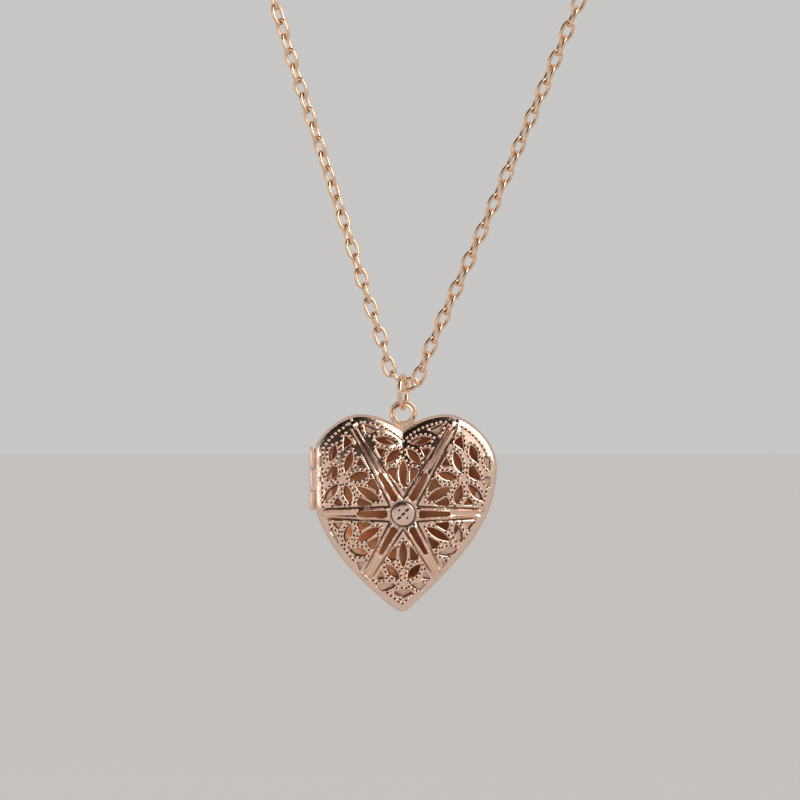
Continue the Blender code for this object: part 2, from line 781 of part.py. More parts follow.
def smooth_route(route):
    """Points every ROUTE_STEP along a smooth curve through a strand's own points."""
    points = np.array([VERTEX + (x, 0, z) for x, z in route])
    ends = np.vstack([2 * points[0] - points[1], points, 2 * points[-1] - points[-2]])
    fine = []
    for a, b, c, d in zip(ends, ends[1:], ends[2:], ends[3:]):
        for t in np.arange(0, 1, 0.1):
            fine.append(0.5 * (2 * b + (c - a) * t + (2 * a - 5 * b + 4 * c - d) * t**2
                               + (3 * b - a - 3 * c + d) * t**3))
    fine = np.array([*fine, points[-1]])
    run = np.r_[0, np.cumsum(np.linalg.norm(np.diff(fine, axis=0), axis=1))]
    at = np.linspace(0, run[-1], max(2, round(run[-1] / ROUTE_STEP)) + 1)
    return np.stack([np.interp(at, run, fine[:, i]) for i in range(3)], axis=1)


def make_strand(name, route, holder):
    """A strand of the chain as a plain tube of the chain's width."""
    start = world_place(holder)
    points = smooth_route(route)
    curve = bpy.data.curves.new(name, "CURVE")
    curve.dimensions = "3D"
    curve.bevel_depth = LINK_WIDTH / 2 * MM
    curve.bevel_resolution = 2
    curve.use_fill_caps = True
    spline = curve.splines.new("POLY")
    spline.points.add(len(points) - 1)
    for spot, place in zip(spline.points, points):
        spot.co = (*(Vector(place) * MM - start), 1)
    curve.materials.append(metal(WARM))
    made = bpy.data.objects.new(name, curve)
    bpy.context.scene.collection.objects.link(made)
    made.parent = holder
    return points


# ---------------------------------------------------------------- ends of the chain


class End:
    """The frame at a strand's upper end: up along the strand, across it, and towards -Y."""

    def __init__(self, points):
        self.start = points[-1]
        self.up = points[-1] - points[-2]
        self.up /= np.linalg.norm(self.up)
        self.across = np.cross((0, 1, 0), self.up)

    def place(self, across, up, level=0.0):
        return self.start + self.across * across + self.up * up + np.array((0, -level, 0))

    def about(self, rise):
        """A lift function for plates drawn about a point on the strand's line."""
        return lambda p, q, level: self.place(p, q + rise, level)


def make_ring(name, end, across, radius, wire, holder):
    """A round ring just past a strand's end, in the plane of the strand and another direction."""
    centre = end.place(0, CORD_GAP + radius + wire / 2)
    made = wire_loop(centre, end.up, across, radius, radius, wire, 28, 8)
    piece(name, *made, WARM, holder)


def lever_outline():
    """The lever: a hub on the pin, an arm that fills the gate, and a thumb piece."""
    hub = circle(*LEVER_PIVOT, LEVER_HUB, 16)
    edge = 0.1
    outer = ellipse(0, 0, CLASP_HALF_WIDTH - edge, CLASP_HALF_LENGTH - edge, 40)
    inner = ellipse(0, MOUTH_RISE, MOUTH_HALF_WIDTH, MOUTH_HALF_LENGTH, 32)
    arm = outer[(outer[:, 0] > 1.0) & (outer[:, 1] > LEVER_LOW) & (outer[:, 1] < LEVER_TOP)]
    back = inner[(inner[:, 0] > 0.8) & (inner[:, 1] > LEVER_LOW) & (inner[:, 1] < LEVER_TOP)]
    arm = arm[np.argsort(arm[:, 1])]
    back = back[np.argsort(-back[:, 1])]
    return [hub, np.vstack([arm, back]), circle(*THUMB, THUMB_RADIUS, 12)]


def make_clasp(end, holder, lever_holder, rise):
    """Body, lever, pin and spring of the lobster clasp."""
    lift = end.about(rise)
    half = CLASP_THICKNESS / 2
    oval = ellipse(0, 0, CLASP_HALF_WIDTH, CLASP_HALF_LENGTH, 36)
    eye = circle(0, -EYE_DROP, EYE_RADIUS, 20)
    mouth = ellipse(0, MOUTH_RISE, MOUTH_HALF_WIDTH, MOUTH_HALF_LENGTH, 28)
    gate = box(GATE_LEFT, GATE_LOW, CLASP_HALF_WIDTH + 0.3, GATE_HIGH)
    bore = circle(*LEVER_PIVOT, LEVER_PIN + LEVER_CLEARANCE, 12)
    eye_hole = circle(0, -EYE_DROP, EYE_HOLE, 16)
    body = piece(
        "clasp_body", *plate([oval, eye], [mouth, gate, bore, eye_hole], -half, half, lift), WARM, holder
    )
    slot_half = LEVER_THICKNESS / 2 + LEVER_CLEARANCE
    slot = box(SLOT_LEFT, SLOT_BOTTOM, CLASP_HALF_WIDTH + 0.3, GATE_LOW + 0.3)
    cutter = piece("clasp_slot_cutter", *plate([slot], [], -slot_half, slot_half, lift), WARM, holder)
    cutter.hide_render = True
    cutter.display_type = "WIRE"
    cut = body.modifiers.new("lever_slot", "BOOLEAN")
    cut.operation = "DIFFERENCE"
    cut.object = cutter
    half_lever = LEVER_THICKNESS / 2
    made = plate(lever_outline(), [bore], -half_lever, half_lever, lift)
    piece("clasp_lever", *made, WARM, lever_holder)
    pin = plate([circle(*LEVER_PIVOT, LEVER_PIN, 12)], [], -half - 0.08, half + 0.08, lift)
    piece("clasp_pin", *pin, WARM, holder)
    heel = LEVER_PIVOT[0] - LEVER_HUB - 0.5 * SPRING_LEAF - LEVER_CLEARANCE
    left = SLOT_LEFT + SPRING_LEAF
    bend = [
        (left + 0.02, LEVER_PIVOT[1] + 0.55),
        (left, LEVER_PIVOT[1] - 0.1),
        (left + 0.1, LEVER_PIVOT[1] - 0.55),
        ((left + heel) / 2, LEVER_PIVOT[1] - 0.72),
        (heel - 0.12, LEVER_PIVOT[1] - 0.5),
        (heel, LEVER_PIVOT[1] - 0.1),
    ]
    made = plate([strip(bend, SPRING_LEAF)], [], -SPRING_WIDTH / 2, SPRING_WIDTH / 2, lift)
    piece("clasp_spring", *made, STEEL, holder)


def build():
    clear_scene()
    chain = pivot("neck_line", (0, 0, 0))
    ring = pivot("jump_ring_axis", BOSS + (0, 0, JUMP_TOP - JUMP_WIRE / 2), chain)
    case = pivot("locket_axis", BOSS + (0, 0, JUMP_LOW), ring)
    cover = pivot("hinge_axis", BOSS + (HINGE_X, 0, (HINGE_TOP + HINGE_BOTTOM) / 2), case)

    outline = heart()
    back = make_shells(outline, cover, case)
    make_frames(outline, cover, case)
    make_hinge(cover, case)
    make_catch(outline, back, case)
    make_bail(back, case)
    make_jump_ring(ring)
    make_vertex_links(chain)

    left = End(make_strand("chain_left", LEFT_ROUTE, chain))
    right = End(make_strand("chain_right", RIGHT_ROUTE, chain))
    make_ring("clasp_ring", left, (0, 1, 0), CLASP_RING_RADIUS, CLASP_RING_WIRE, chain)
    make_ring("end_ring", right, right.across, END_RING_RADIUS, END_RING_WIRE, chain)
    rise = CORD_GAP + CLASP_RING_WIRE / 2 + 2 * CLASP_RING_RADIUS + EYE_DROP
    lever = pivot("lever_axis", left.place(LEVER_PIVOT[0], LEVER_PIVOT[1] + rise), chain)
    make_clasp(left, chain, lever, rise)


build()
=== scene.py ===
import math

import bpy
import numpy as np
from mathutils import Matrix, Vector
from mathutils.geometry import delaunay_2d_cdt


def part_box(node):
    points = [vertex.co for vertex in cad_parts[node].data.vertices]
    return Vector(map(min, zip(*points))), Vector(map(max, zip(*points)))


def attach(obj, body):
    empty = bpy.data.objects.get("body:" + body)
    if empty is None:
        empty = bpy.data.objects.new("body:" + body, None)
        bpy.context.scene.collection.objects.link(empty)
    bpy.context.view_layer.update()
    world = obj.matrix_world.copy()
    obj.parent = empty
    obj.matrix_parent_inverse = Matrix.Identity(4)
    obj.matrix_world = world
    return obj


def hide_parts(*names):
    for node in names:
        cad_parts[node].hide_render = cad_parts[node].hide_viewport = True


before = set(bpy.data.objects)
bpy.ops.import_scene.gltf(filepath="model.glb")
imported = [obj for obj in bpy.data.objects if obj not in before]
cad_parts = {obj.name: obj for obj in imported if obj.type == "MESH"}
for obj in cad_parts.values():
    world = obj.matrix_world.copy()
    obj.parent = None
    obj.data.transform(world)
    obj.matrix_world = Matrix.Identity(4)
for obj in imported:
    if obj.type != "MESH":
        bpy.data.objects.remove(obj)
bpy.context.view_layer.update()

# Lengths are in millimetres, apart from the cords' routes, and meshes are scaled by MM as they are made.
MM = 0.001
TAU = 2 * math.pi

# ---- camera, floor and light

VIEW_WIDTH = 114.0
VIEW_CENTRE = (-0.456, -71.99)
VIEW_DISTANCE = 650.0
SENSOR = 36.0
CLIP_START = 0.01
FLOOR_Z = -150.0
FLOOR_REACH = 6.0
FLOOR_COLOUR = (0.86, 0.845, 0.835, 1)

# The key comes from the upper right in front. Its angle is how wide a disc of sky it fills.
KEY_FROM = (0.60, -0.55, 0.55)
KEY_ANGLE = math.radians(50)
KEY_STRENGTH = 1.4
KEY_COLOUR = (1, 0.985, 0.965)

# A weak softbox on the left. Places and sizes of lamps are in metres.
FILL_FROM = (-0.75, -0.65, 0.05)
FILL_SIZE = (0.25, 0.6)
FILL_POWER = 1.0
FILL_COLOUR = (1, 0.96, 0.93)
LAMP_AIM = (0, 0, -0.085)

# The sky's level against height over the horizon, which counts for more on the left and only in front.
SKY_LEAN = 1.5
SKY_TINT = (1.0, 0.98, 0.965)
SKY_STEPS = ((0.0, 0.58), (0.18, 0.58), (0.29, 0.10), (0.4, 0.01), (1.0, 0.005))
SKY_FRONT = (0.2, 2.0)


def linked(name, data):
    """A new object in the scene."""
    made = bpy.data.objects.new(name, data)
    bpy.context.scene.collection.objects.link(made)
    return made


def make_camera():
    data = bpy.data.cameras.new("camera")
    data.sensor_width = SENSOR
    data.lens = SENSOR * VIEW_DISTANCE / VIEW_WIDTH
    data.clip_start = CLIP_START
    made = linked("camera", data)
    made.location = Vector((VIEW_CENTRE[0], -VIEW_DISTANCE, VIEW_CENTRE[1])) * MM
    made.rotation_euler = (math.radians(90), 0, 0)
    bpy.context.scene.camera = made


def softbox(name, at, size, power, colour):
    """An area light that faces the locket."""
    data = bpy.data.lights.new(name, "AREA")
    data.shape = "RECTANGLE"
    data.size, data.size_y = size
    data.energy = power
    data.color = colour
    made = linked(name, data)
    made.location = at
    aim = Vector(LAMP_AIM) - Vector(at)
    made.rotation_euler = aim.to_track_quat("-Z", "Y").to_euler()


def make_studio():
    """A pale floor and horizon of one tone, a sky that darkens towards the upper left, and soft lamps."""
    mesh = bpy.data.meshes.new("floor")
    plan = box(-FLOOR_REACH, -FLOOR_REACH, FLOOR_REACH, FLOOR_REACH)
    mesh.from_pydata([(x, y, FLOOR_Z * MM) for x, y in plan], [], [(0, 1, 2, 3)])
    linked("floor", mesh)
    paint = bpy.data.materials.new("floor")
    paint.use_nodes = True
    shader = paint.node_tree.nodes["Principled BSDF"]
    shader.inputs["Base Color"].default_value = FLOOR_COLOUR
    shader.inputs["Roughness"].default_value = 1.0
    shader.inputs["Specular IOR Level"].default_value = 0.0
    mesh.materials.append(paint)

    world = bpy.data.worlds.new("studio")
    bpy.context.scene.world = world
    world.use_nodes = True
    sky = Nodes(world.node_tree)
    place = sky.add("TexCoord").outputs["Generated"]
    split = sky.add("SeparateXYZ", {0: place})
    lean = sky.math("SUBTRACT", 1.0, sky.math("MULTIPLY", split.outputs["X"], SKY_LEAN))
    base, rate = SKY_FRONT
    front = sky.math("SUBTRACT", base, sky.math("MULTIPLY", split.outputs["Y"], rate), True)
    height = sky.math("MULTIPLY", split.outputs["Z"], lean, True)
    ramp = sky.add("ValToRGB", {0: sky.math("MULTIPLY", height, front)})
    sky.tree.links.new(ramp.outputs[0], sky.tree.nodes["Background"].inputs["Color"])
    stops = ramp.color_ramp.elements
    while len(stops) < len(SKY_STEPS):
        stops.new(0.5)
    for stop, (at, level) in zip(stops, SKY_STEPS):
        stop.position = at
        stop.color = (*(level * share for share in SKY_TINT), 1)

    data = bpy.data.lights.new("key", "SUN")
    data.energy = KEY_STRENGTH
    data.angle = KEY_ANGLE
    data.color = KEY_COLOUR
    key = linked("key", data)
    key.rotation_euler = Vector(KEY_FROM).to_track_quat("Z", "Y").to_euler()
    softbox("fill", FILL_FROM, FILL_SIZE, FILL_POWER, FILL_COLOUR)


# ---- materials


class Nodes:
    """A few calls that add nodes to a material's or a world's tree."""

    def __init__(self, tree):
        self.tree = tree

    def set(self, socket, value):
        if isinstance(value, bpy.types.NodeSocket):
            self.tree.links.new(value, socket)
        else:
            socket.default_value = value

    def add(self, kind, inputs=(), **settings):
        node = self.tree.nodes.new("ShaderNode" + kind)
        for key, value in settings.items():
            setattr(node, key, value)
        for socket, value in dict(inputs).items():
            self.set(node.inputs[socket], value)
        return node

    def math(self, operation, a, b, clamp=False):
        return self.add("Math", {0: a, 1: b}, operation=operation, use_clamp=clamp).outputs[0]

    def mix(self, share, a, b):
        node = self.add("Mix", {0: share}, data_type="RGBA")
        for socket, value in ((6, a), (7, b)):
            self.set(node.inputs[socket], (*value, 1) if isinstance(value, tuple) else value)
        return node.outputs[2]

    def place(self, scale):
        """Object coordinates in millimetres, times a scale for each axis."""
        spot = self.add("TexCoord").outputs["Object"]
        return self.add("Mapping", {0: spot, 3: [s / MM for s in scale]}).outputs[0]

    def noise(self, place, scale, detail=2.0, roughness=0.5):
        inputs = {"Vector": place, "Scale": scale, "Detail": detail, "Roughness": roughness}
        return self.add("TexNoise", inputs).outputs[0]

    def attribute(self, name):
        return self.add("Attribute", attribute_name=name).outputs["Fac"]


# How the metal varies: scales are per millimetre, and the rest are shares.
TINT_SCALE = 0.45
TINT_SHARE = 0.55
HAIR_STRETCH = (1.2, 1.2, 16)
WORN_SCALE = 1.7
DENT_SCALE = 0.9
HAIR_HEIGHT = 0.25
SCRATCH_DEPTH = 0.012
# Dark colour for painted shade in recesses and where links meet, and for the real solder seam on the end
# rings.
SHADE_AND_SEAM_COLOUR = (0.03, 0.012, 0.008)
# Painted shade: a deep copper tint on inner faces, for their shadow and the light bounced between them.
INNER_SHADE_TINT = (0.92, 0.44, 0.22)
ROUGH_BASE = 0.06
ROUGH_WORN = 0.12
ROUGH_HAIR = 0.08
ROUGH_SHADE_AND_SEAM = 0.3
ROUGH_INNER = 0.12


def metal(name, colour, warm, roughness):
    """Plated brass: a mottled tint, painted shade in recesses and a real solder seam darkening where the
    mesh says so, painted shade on inner faces, fine scratches and soft dents.
    """
    paint = bpy.data.materials.new(name)
    paint.use_nodes = True
    made = Nodes(paint.node_tree)
    shader = paint.node_tree.nodes["Principled BSDF"].inputs
    tint = made.noise(made.place((1, 1, 1)), TINT_SCALE, 3.0)
    dark = made.attribute("patina")
    inner = made.attribute("inner")
    base = made.mix(made.math("MULTIPLY", tint, TINT_SHARE), colour, warm)
    # Inner faces get the painted shade tint.
    base = made.mix(inner, base, INNER_SHADE_TINT)
    # Painted shade, and the solder seam, darken the colour where the mesh attribute says so.
    made.set(shader["Base Color"], made.mix(dark, base, SHADE_AND_SEAM_COLOUR))
    shader["Metallic"].default_value = 1.0
    hairs = made.noise(made.place(HAIR_STRETCH), 1.0, 4.0, 0.6)
    worn = made.noise(made.place((1, 1, 1)), WORN_SCALE, 4.0, 0.6)
    rough = made.math("ADD", made.math("MULTIPLY", worn, ROUGH_WORN), roughness - ROUGH_BASE)
    rough = made.math("ADD", rough, made.math("MULTIPLY", hairs, ROUGH_HAIR))
    rough = made.math("ADD", rough, made.math("MULTIPLY", dark, ROUGH_SHADE_AND_SEAM))
    rough = made.math("ADD", rough, made.math("MULTIPLY", inner, ROUGH_INNER), clamp=True)
    made.set(shader["Roughness"], rough)
    dents = made.noise(made.place((1, 1, 1)), DENT_SCALE, 2.0)
    height = made.math("ADD", made.math("MULTIPLY", hairs, HAIR_HEIGHT), dents)
    bump = made.add("Bump", {"Height": height, "Strength": 1.0, "Distance": SCRATCH_DEPTH * MM})
    made.set(shader["Normal"], bump.outputs[0])
    return paint


# ---- plane outlines

HEART_HALF_WIDTH = 13.15
LOBE_HEIGHT = 13.95
LOBE_X = 6.3
SIDE_Z = 6.6
CLEFT_Z = 11.6
TIP_X = -0.2
TIP_Z = -13.8
TIP_HALF_WIDTH = 0.75
TIP_SHOULDER = 0.3
CLEFT_HANDLE = (1.6, 1.4)
LOBE_HANDLE = 2.4
SHOULDER_HANDLE = 2.45
SIDE_HANDLE = 4.0
BELLY_HANDLE = 8.05
RIGHT_TAPER = (7.0, 6.6)
LEFT_TAPER = (8.1, 6.2)
CURVE_STEPS = (16, 18, 30)
HINGE_INSET = 0.2
HINGE_X = HINGE_INSET - HEART_HALF_WIDTH
KNUCKLE_RADIUS = 0.45
WALL_CLEARANCE = 0.06

BOSS = np.array([0, 0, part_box("front_shell")[0].z / MM - TIP_Z])


def bezier(a, b, c, d, steps):
    """Points on a cubic curve from a up to, but not including, d."""
    t = np.arange(steps)[:, None] / steps
    a, b, c, d = map(np.array, (a, b, c, d))
    return (1 - t) ** 3 * a + 3 * (1 - t) ** 2 * t * b + 3 * (1 - t) * t**2 * c + t**3 * d


def half_heart(tip_x, taper):
    """The right half of a heart, from the cleft over the lobe and down to the tip's shoulder."""
    lobe = (LOBE_X, LOBE_HEIGHT)
    side = (HEART_HALF_WIDTH, SIDE_Z)
    shoulder = (tip_x + TIP_HALF_WIDTH, TIP_Z + TIP_SHOULDER)
    cleft_end = (CLEFT_HANDLE[0], CLEFT_Z + CLEFT_HANDLE[1])
    top = bezier((0, CLEFT_Z), cleft_end, (LOBE_X - LOBE_HANDLE, LOBE_HEIGHT), lobe, CURVE_STEPS[0])
    over = (LOBE_X + SHOULDER_HANDLE, LOBE_HEIGHT)
    flank = bezier(lobe, over, (HEART_HALF_WIDTH, SIDE_Z + SIDE_HANDLE), side, CURVE_STEPS[1])
    under = (HEART_HALF_WIDTH, SIDE_Z - BELLY_HANDLE)
    low = (shoulder[0] + taper[0], shoulder[1] + taper[1])
    belly = bezier(side, under, low, shoulder, CURVE_STEPS[2])
    return np.vstack([top, flank, belly, [shoulder]])


def heart():
    """The locket's outline, anticlockwise in (x, z), flattened where the hinge sits."""
    right = half_heart(TIP_X, RIGHT_TAPER)
    left = half_heart(-TIP_X, LEFT_TAPER) * (-1, 1)
    return hinge_flat(np.vstack([right[:1], left[1:], [(TIP_X, TIP_Z)], right[:0:-1]]))


def hinge_flat(loop):
    """Flattens the loop's left edge along the hinge."""
    flat = np.array(loop)
    flat[:, 0] = np.maximum(flat[:, 0], HINGE_X + KNUCKLE_RADIUS + WALL_CLEARANCE)
    step = np.linalg.norm(flat - np.roll(flat, 1, axis=0), axis=1)
    return flat[step > 0.02]


def edge_distance(points, a, b=None):
    """The distance from each point to a closed loop's edges, or to edges from a to b."""
    if b is None:
        b = np.roll(a, -1, axis=0)
    found = []
    along = b - a
    square = (along**2).sum(1)
    for some in np.array_split(points, max(1, len(points) * len(a) // 2000000)):
        at = some[:, None, :] - a
        t = np.clip((at * along).sum(2) / square, 0, 1)
        found.append(np.linalg.norm(at - t[..., None] * along, axis=2).min(1))
    return np.concatenate(found)


def inside(points, loop):
    """Which points lie inside a closed loop."""
    a, b = loop, np.roll(loop, -1, axis=0)
    x, y = points[:, None, 0], points[:, None, 1]
    spans = (a[:, 1] > y) != (b[:, 1] > y)
    rise = np.where(b[:, 1] == a[:, 1], 1, b[:, 1] - a[:, 1])
    crossing = a[:, 0] + (y - a[:, 1]) * (b[:, 0] - a[:, 0]) / rise
    return (spans & (x < crossing)).sum(1) % 2 == 1


def inside_any(points, loops):
    """Which points lie inside at least one of some closed loops."""
    found = np.zeros(len(points), bool)
    for loop in loops:
        found |= inside(points, loop)
    return found


def anticlockwise(loop):
    ahead = np.roll(loop, -1, axis=0)
    area = (loop[:, 0] * ahead[:, 1] - ahead[:, 0] * loop[:, 1]).sum()
    return loop if area > 0 else loop[::-1]


def offset(loop, distance):
    """An anticlockwise loop moved outwards, or inwards where distance is negative."""
    ahead = np.roll(loop, -1, axis=0) - loop
    ahead /= np.linalg.norm(ahead, axis=1)[:, None]
    behind = np.roll(ahead, 1, axis=0)
    normal = np.stack([ahead[:, 1] + behind[:, 1], -ahead[:, 0] - behind[:, 0]], axis=1)
    normal /= np.linalg.norm(normal, axis=1)[:, None]
    stretch = 1 / np.maximum((normal * np.stack([ahead[:, 1], -ahead[:, 0]], 1)).sum(1), 0.6)
    moved = loop + normal * (distance * stretch)[:, None]
    return moved[edge_distance(moved, loop) > abs(distance) * 0.985]


def spaced(loop, pitch, start=0.0):
    """Points at an even pitch round a closed loop."""
    closed = np.vstack([loop, loop[:1]])
    run = np.r_[0, np.cumsum(np.linalg.norm(np.diff(closed, axis=0), axis=1))]
    count = max(3, round(run[-1] / pitch))
    at = (np.arange(count) + start) * run[-1] / count
    return np.stack([np.interp(at, run, closed[:, i]) for i in (0, 1)], axis=1)


def soften(loop, rounds, cut):
    """A loop with its corners cut off, again and again, by a share of each side."""
    for _ in range(rounds):
        ahead = np.roll(loop, -1, axis=0)
        near, far = loop + cut * (ahead - loop), ahead + cut * (loop - ahead)
        loop = np.stack([near, far], 1).reshape(-1, 2)
    return loop


def circle(x, y, radius, steps, start=0.0):
    turn = start + np.arange(steps) * TAU / steps
    return np.stack([x + radius * np.cos(turn), y + radius * np.sin(turn)], axis=1)


def ellipse(x, y, half_x, half_y, steps):
    return circle(0, 0, 1, steps) * (half_x, half_y) + (x, y)


def box(left, bottom, right, top):
    return np.array([(left, bottom), (right, bottom), (right, top), (left, top)])


def petal(start, end, width, steps=9):
    """A pointed oval from one point to another."""
    start, end = np.array(start), np.array(end)
    along = end - start
    across = np.array([-along[1], along[0]]) / np.linalg.norm(along)
    t = (1 - np.cos(math.pi * np.linspace(0, 1, steps + 1))) / 2
    bow = np.sin(math.pi * t) ** PETAL_FULLNESS * width / 2
    side = start + t[:, None] * along - bow[:, None] * across
    other = start + t[:, None] * along + bow[:, None] * across
    return np.vstack([side, other[-2:0:-1]])


# ---- solids


def triangles(loops, points=()):
    """A constrained triangulation of loops and loose points: vertices and anticlockwise faces."""
    coords, edges = [], []
    for loop in loops:
        first = len(coords)
        coords += [Vector(p) for p in loop]
        edges += [(first + i, first + (i + 1) % len(loop)) for i in range(len(loop))]
    coords += [Vector(p) for p in points]
    verts, _, faces, *_ = delaunay_2d_cdt(coords, edges, [], 0, 1e-5)
    verts = np.array([tuple(v) for v in verts])
    faces = np.array([f for f in faces if len(f) == 3])
    a, b, c = (verts[faces[:, i]] for i in range(3))
    turn = (b[:, 0] - a[:, 0]) * (c[:, 1] - a[:, 1]) - (b[:, 1] - a[:, 1]) * (c[:, 0] - a[:, 0])
    faces[turn < 0] = faces[turn < 0][:, ::-1]
    return verts, faces[np.abs(turn) > 1e-9]


def rim_edges(faces):
    """The directed edges that only one face has."""
    edges = {(f[i], f[(i + 1) % 3]) for f in faces.tolist() for i in range(3)}
    return sorted((a, b) for a, b in edges if (b, a) not in edges)


def thinned(points, gaps):
    """The points that keep their own gap from every earlier point that is kept."""
    cell = 0.4
    found, grid = [], {}
    for i, (point, gap) in enumerate(zip(points.tolist(), gaps)):
        column, row = int(point[0] // cell), int(point[1] // cell)
        near = (
            other
            for dx in (-1, 0, 1)
            for dy in (-1, 0, 1)
            for other in grid.get((column + dx, row + dy), ())
        )
        if all((point[0] - o[0]) ** 2 + (point[1] - o[1]) ** 2 > gap * gap for o in near):
            grid.setdefault((column, row), []).append(point)
            found.append(i)
    return np.array(found, int)


def kept_faces(verts, faces, add, cut):
    middle = verts[faces].mean(1)
    return faces[inside_any(middle, add) & ~inside_any(middle, cut)]


def pillow(add, cut, low, high, edge, lift, relief=None, step=0.45):
    """A flat solid with rounded edges: the outlines in add less those in cut.

    lift(p, q, level) gives the places of plane points. relief(p, q, from_edge) adds to both faces.
    """
    verts, faces = triangles([*add, *cut])
    faces = kept_faces(verts, faces, add, cut)
    border = np.array(rim_edges(faces))
    a, b = verts[border[:, 0]], verts[border[:, 1]]
    across = (b - a)[:, ::-1] * (-1, 1)
    across /= np.linalg.norm(across, axis=1)[:, None]
    rings = [edge * share for share in (0.06, 0.22, 0.5, 1.0)]
    loose, gaps = [], []
    for ring in rings:
        for share in (0.0, 0.5):
            spot = a + (b - a) * share + across * ring
            clear = edge_distance(spot, a, b) > ring * 0.97
            loose.append(spot[clear])
            gaps += [ring * 0.3 + 0.01] * int(clear.sum())
    corner, far = verts.min(0), verts.max(0)
    grid = np.array([
        (x + step / 2 * (i % 2), y)
        for i, y in enumerate(np.arange(corner[1], far[1], step * 0.87))
        for x in np.arange(corner[0], far[0], step)
    ])
    clear = edge_distance(grid, a, b) > edge * 1.15
    loose.append(grid[clear])
    gaps += [step * 0.6] * int(clear.sum())
    loose = np.vstack(loose)
    loose = loose[thinned(loose, gaps)]
    verts, faces = triangles([*add, *cut], loose)
    faces = kept_faces(verts, faces, add, cut)
    used, faces = np.unique(faces, return_inverse=True)
    faces = faces.reshape(-1, 3)
    flat = verts[used]
    border = np.array(rim_edges(faces))
    from_edge = edge_distance(flat, flat[border[:, 0]], flat[border[:, 1]])
    rest = edge - np.minimum(from_edge, edge)
    drop = edge - np.sqrt(np.maximum(edge**2 - rest**2, 0))
    if relief is not None:
        drop = drop - relief(flat[:, 0], flat[:, 1], from_edge)
    count = len(used)
    top = lift(flat[:, 0], flat[:, 1], high - drop)
    bottom = lift(flat[:, 0], flat[:, 1], low + drop)
    sides = [(b, a, a + count) for a, b in border] + [(b, a + count, b + count) for a, b in border]
    return np.vstack([top, bottom]), np.vstack([faces, faces[:, ::-1] + count, np.array(sides)])


def on_face(p, q, level):
    """Plane (x, z) about the boss, with the level measured towards the viewer."""
    level = np.broadcast_to(level, np.shape(p))
    return BOSS + np.stack([p, -level, q], axis=-1)


def upright(p, q, level):
    """Plane (x, y) about the boss, with the level measured upwards."""
    level = np.broadcast_to(level, np.shape(p))
    return BOSS + np.stack([p, q, level], axis=-1)


def turned(profile, x, y, steps):
    """A solid of revolution about a vertical axis. The profile is (radius, z), bottom to top."""
    verts = np.vstack([upright(*circle(x, y, radius, steps).T, z) for radius, z in profile])
    faces = [tuple(range(steps - 1, -1, -1))]
    for row in range(len(profile) - 1):
        for i in range(steps):
            j = (i + 1) % steps
            low, high = row * steps, (row + 1) * steps
            faces.append((low + i, low + j, high + j, high + i))
    top = (len(profile) - 1) * steps
    faces.append(tuple(range(top, top + steps)))
    return verts, faces


def wire_loop(centre, along, across, half_length, half_width, wire, steps, sides, gap=0.0, start=0.0):
    """A wire in the plane of two directions, with round ends of radius half_width.

    A gap, in radians, leaves it open at start, as a jump ring is.
    """
    straight = half_length - half_width
    along, across = np.array(along, float), np.array(across, float)
    normal = np.cross(along, across)
    turns = start + (np.arange(steps) * TAU / steps if gap == 0
                     else np.linspace(gap / 2, TAU - gap / 2, steps))
    verts, faces = [], []
    for i, turn in enumerate(turns):
        c, s = math.cos(turn), math.sin(turn)
        reach = half_width * c + straight * (1.5 * c - 0.5 * c**3)
        spot = centre + along * reach + across * half_width * s
        pull = half_width + straight * 1.5 * (1 - c**2)
        tangent = -along * pull * s + across * half_width * c
        outward = np.cross(tangent / np.linalg.norm(tangent), normal)
        for j in range(sides):
            a = TAU * j / sides
            verts.append(spot + (outward * math.cos(a) + normal * math.sin(a)) * wire / 2)
            k = (j + 1) % sides
            if gap == 0 or i < steps - 1:
                n = (i + 1) % steps
                faces.append((i * sides + j, n * sides + j, n * sides + k, i * sides + k))
    if gap:
        last = (steps - 1) * sides
        faces.append(tuple(range(sides)))
        faces.append(tuple(range(last + sides - 1, last - 1, -1)))
    return np.array(verts), faces


def joined(parts):
    """Several (verts, faces) as one."""
    verts, faces, count = [], [], 0
    for some, ones in parts:
        faces += [tuple(int(v) + count for v in f) for f in ones]
        verts.append(some)
        count += len(some)
    return np.vstack(verts), faces


def make(name, verts, faces, body, slot, material, replaces=(), angle=40.0, **attributes):
    """A piece from a mesh in world millimetres, riding on a body."""
    mesh = bpy.data.meshes.new(name)
    faces = faces.tolist() if isinstance(faces, np.ndarray) else faces
    mesh.from_pydata((np.asarray(verts) * MM).tolist(), [], faces)
    mesh.shade_smooth()
    mesh.set_sharp_from_angle(angle=math.radians(angle))
    mesh.materials.append(material)
    for key, values in attributes.items():
        data = mesh.attributes.new(key, "FLOAT", "POINT").data
        data.foreach_set("value", np.asarray(values, np.float32))
    made = linked(name, mesh)
    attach(made, body)
    if replaces:
        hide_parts(*replaces)
    return made


# ---- chain

VERTEX = np.array([0, 0, -70.0])
LINK_WIRE = 0.54
LINK_WIDTH = 2.05
LINK_LENGTH = 3.2
LINK_CLEARANCE = 0.06
LINK_HOOK = LINK_WIRE + LINK_CLEARANCE
LEFT_LINK_ANGLE = math.radians(-50)
RIGHT_LINK_ANGLE = math.radians(18)
RING_REACH = 0.295
LINK_TURN = 5
LINK_TILT = 0.035
BEARING_REACH = 0.62
# Strength of the painted shade where links meet.
BEARING_SHADE = 0.45

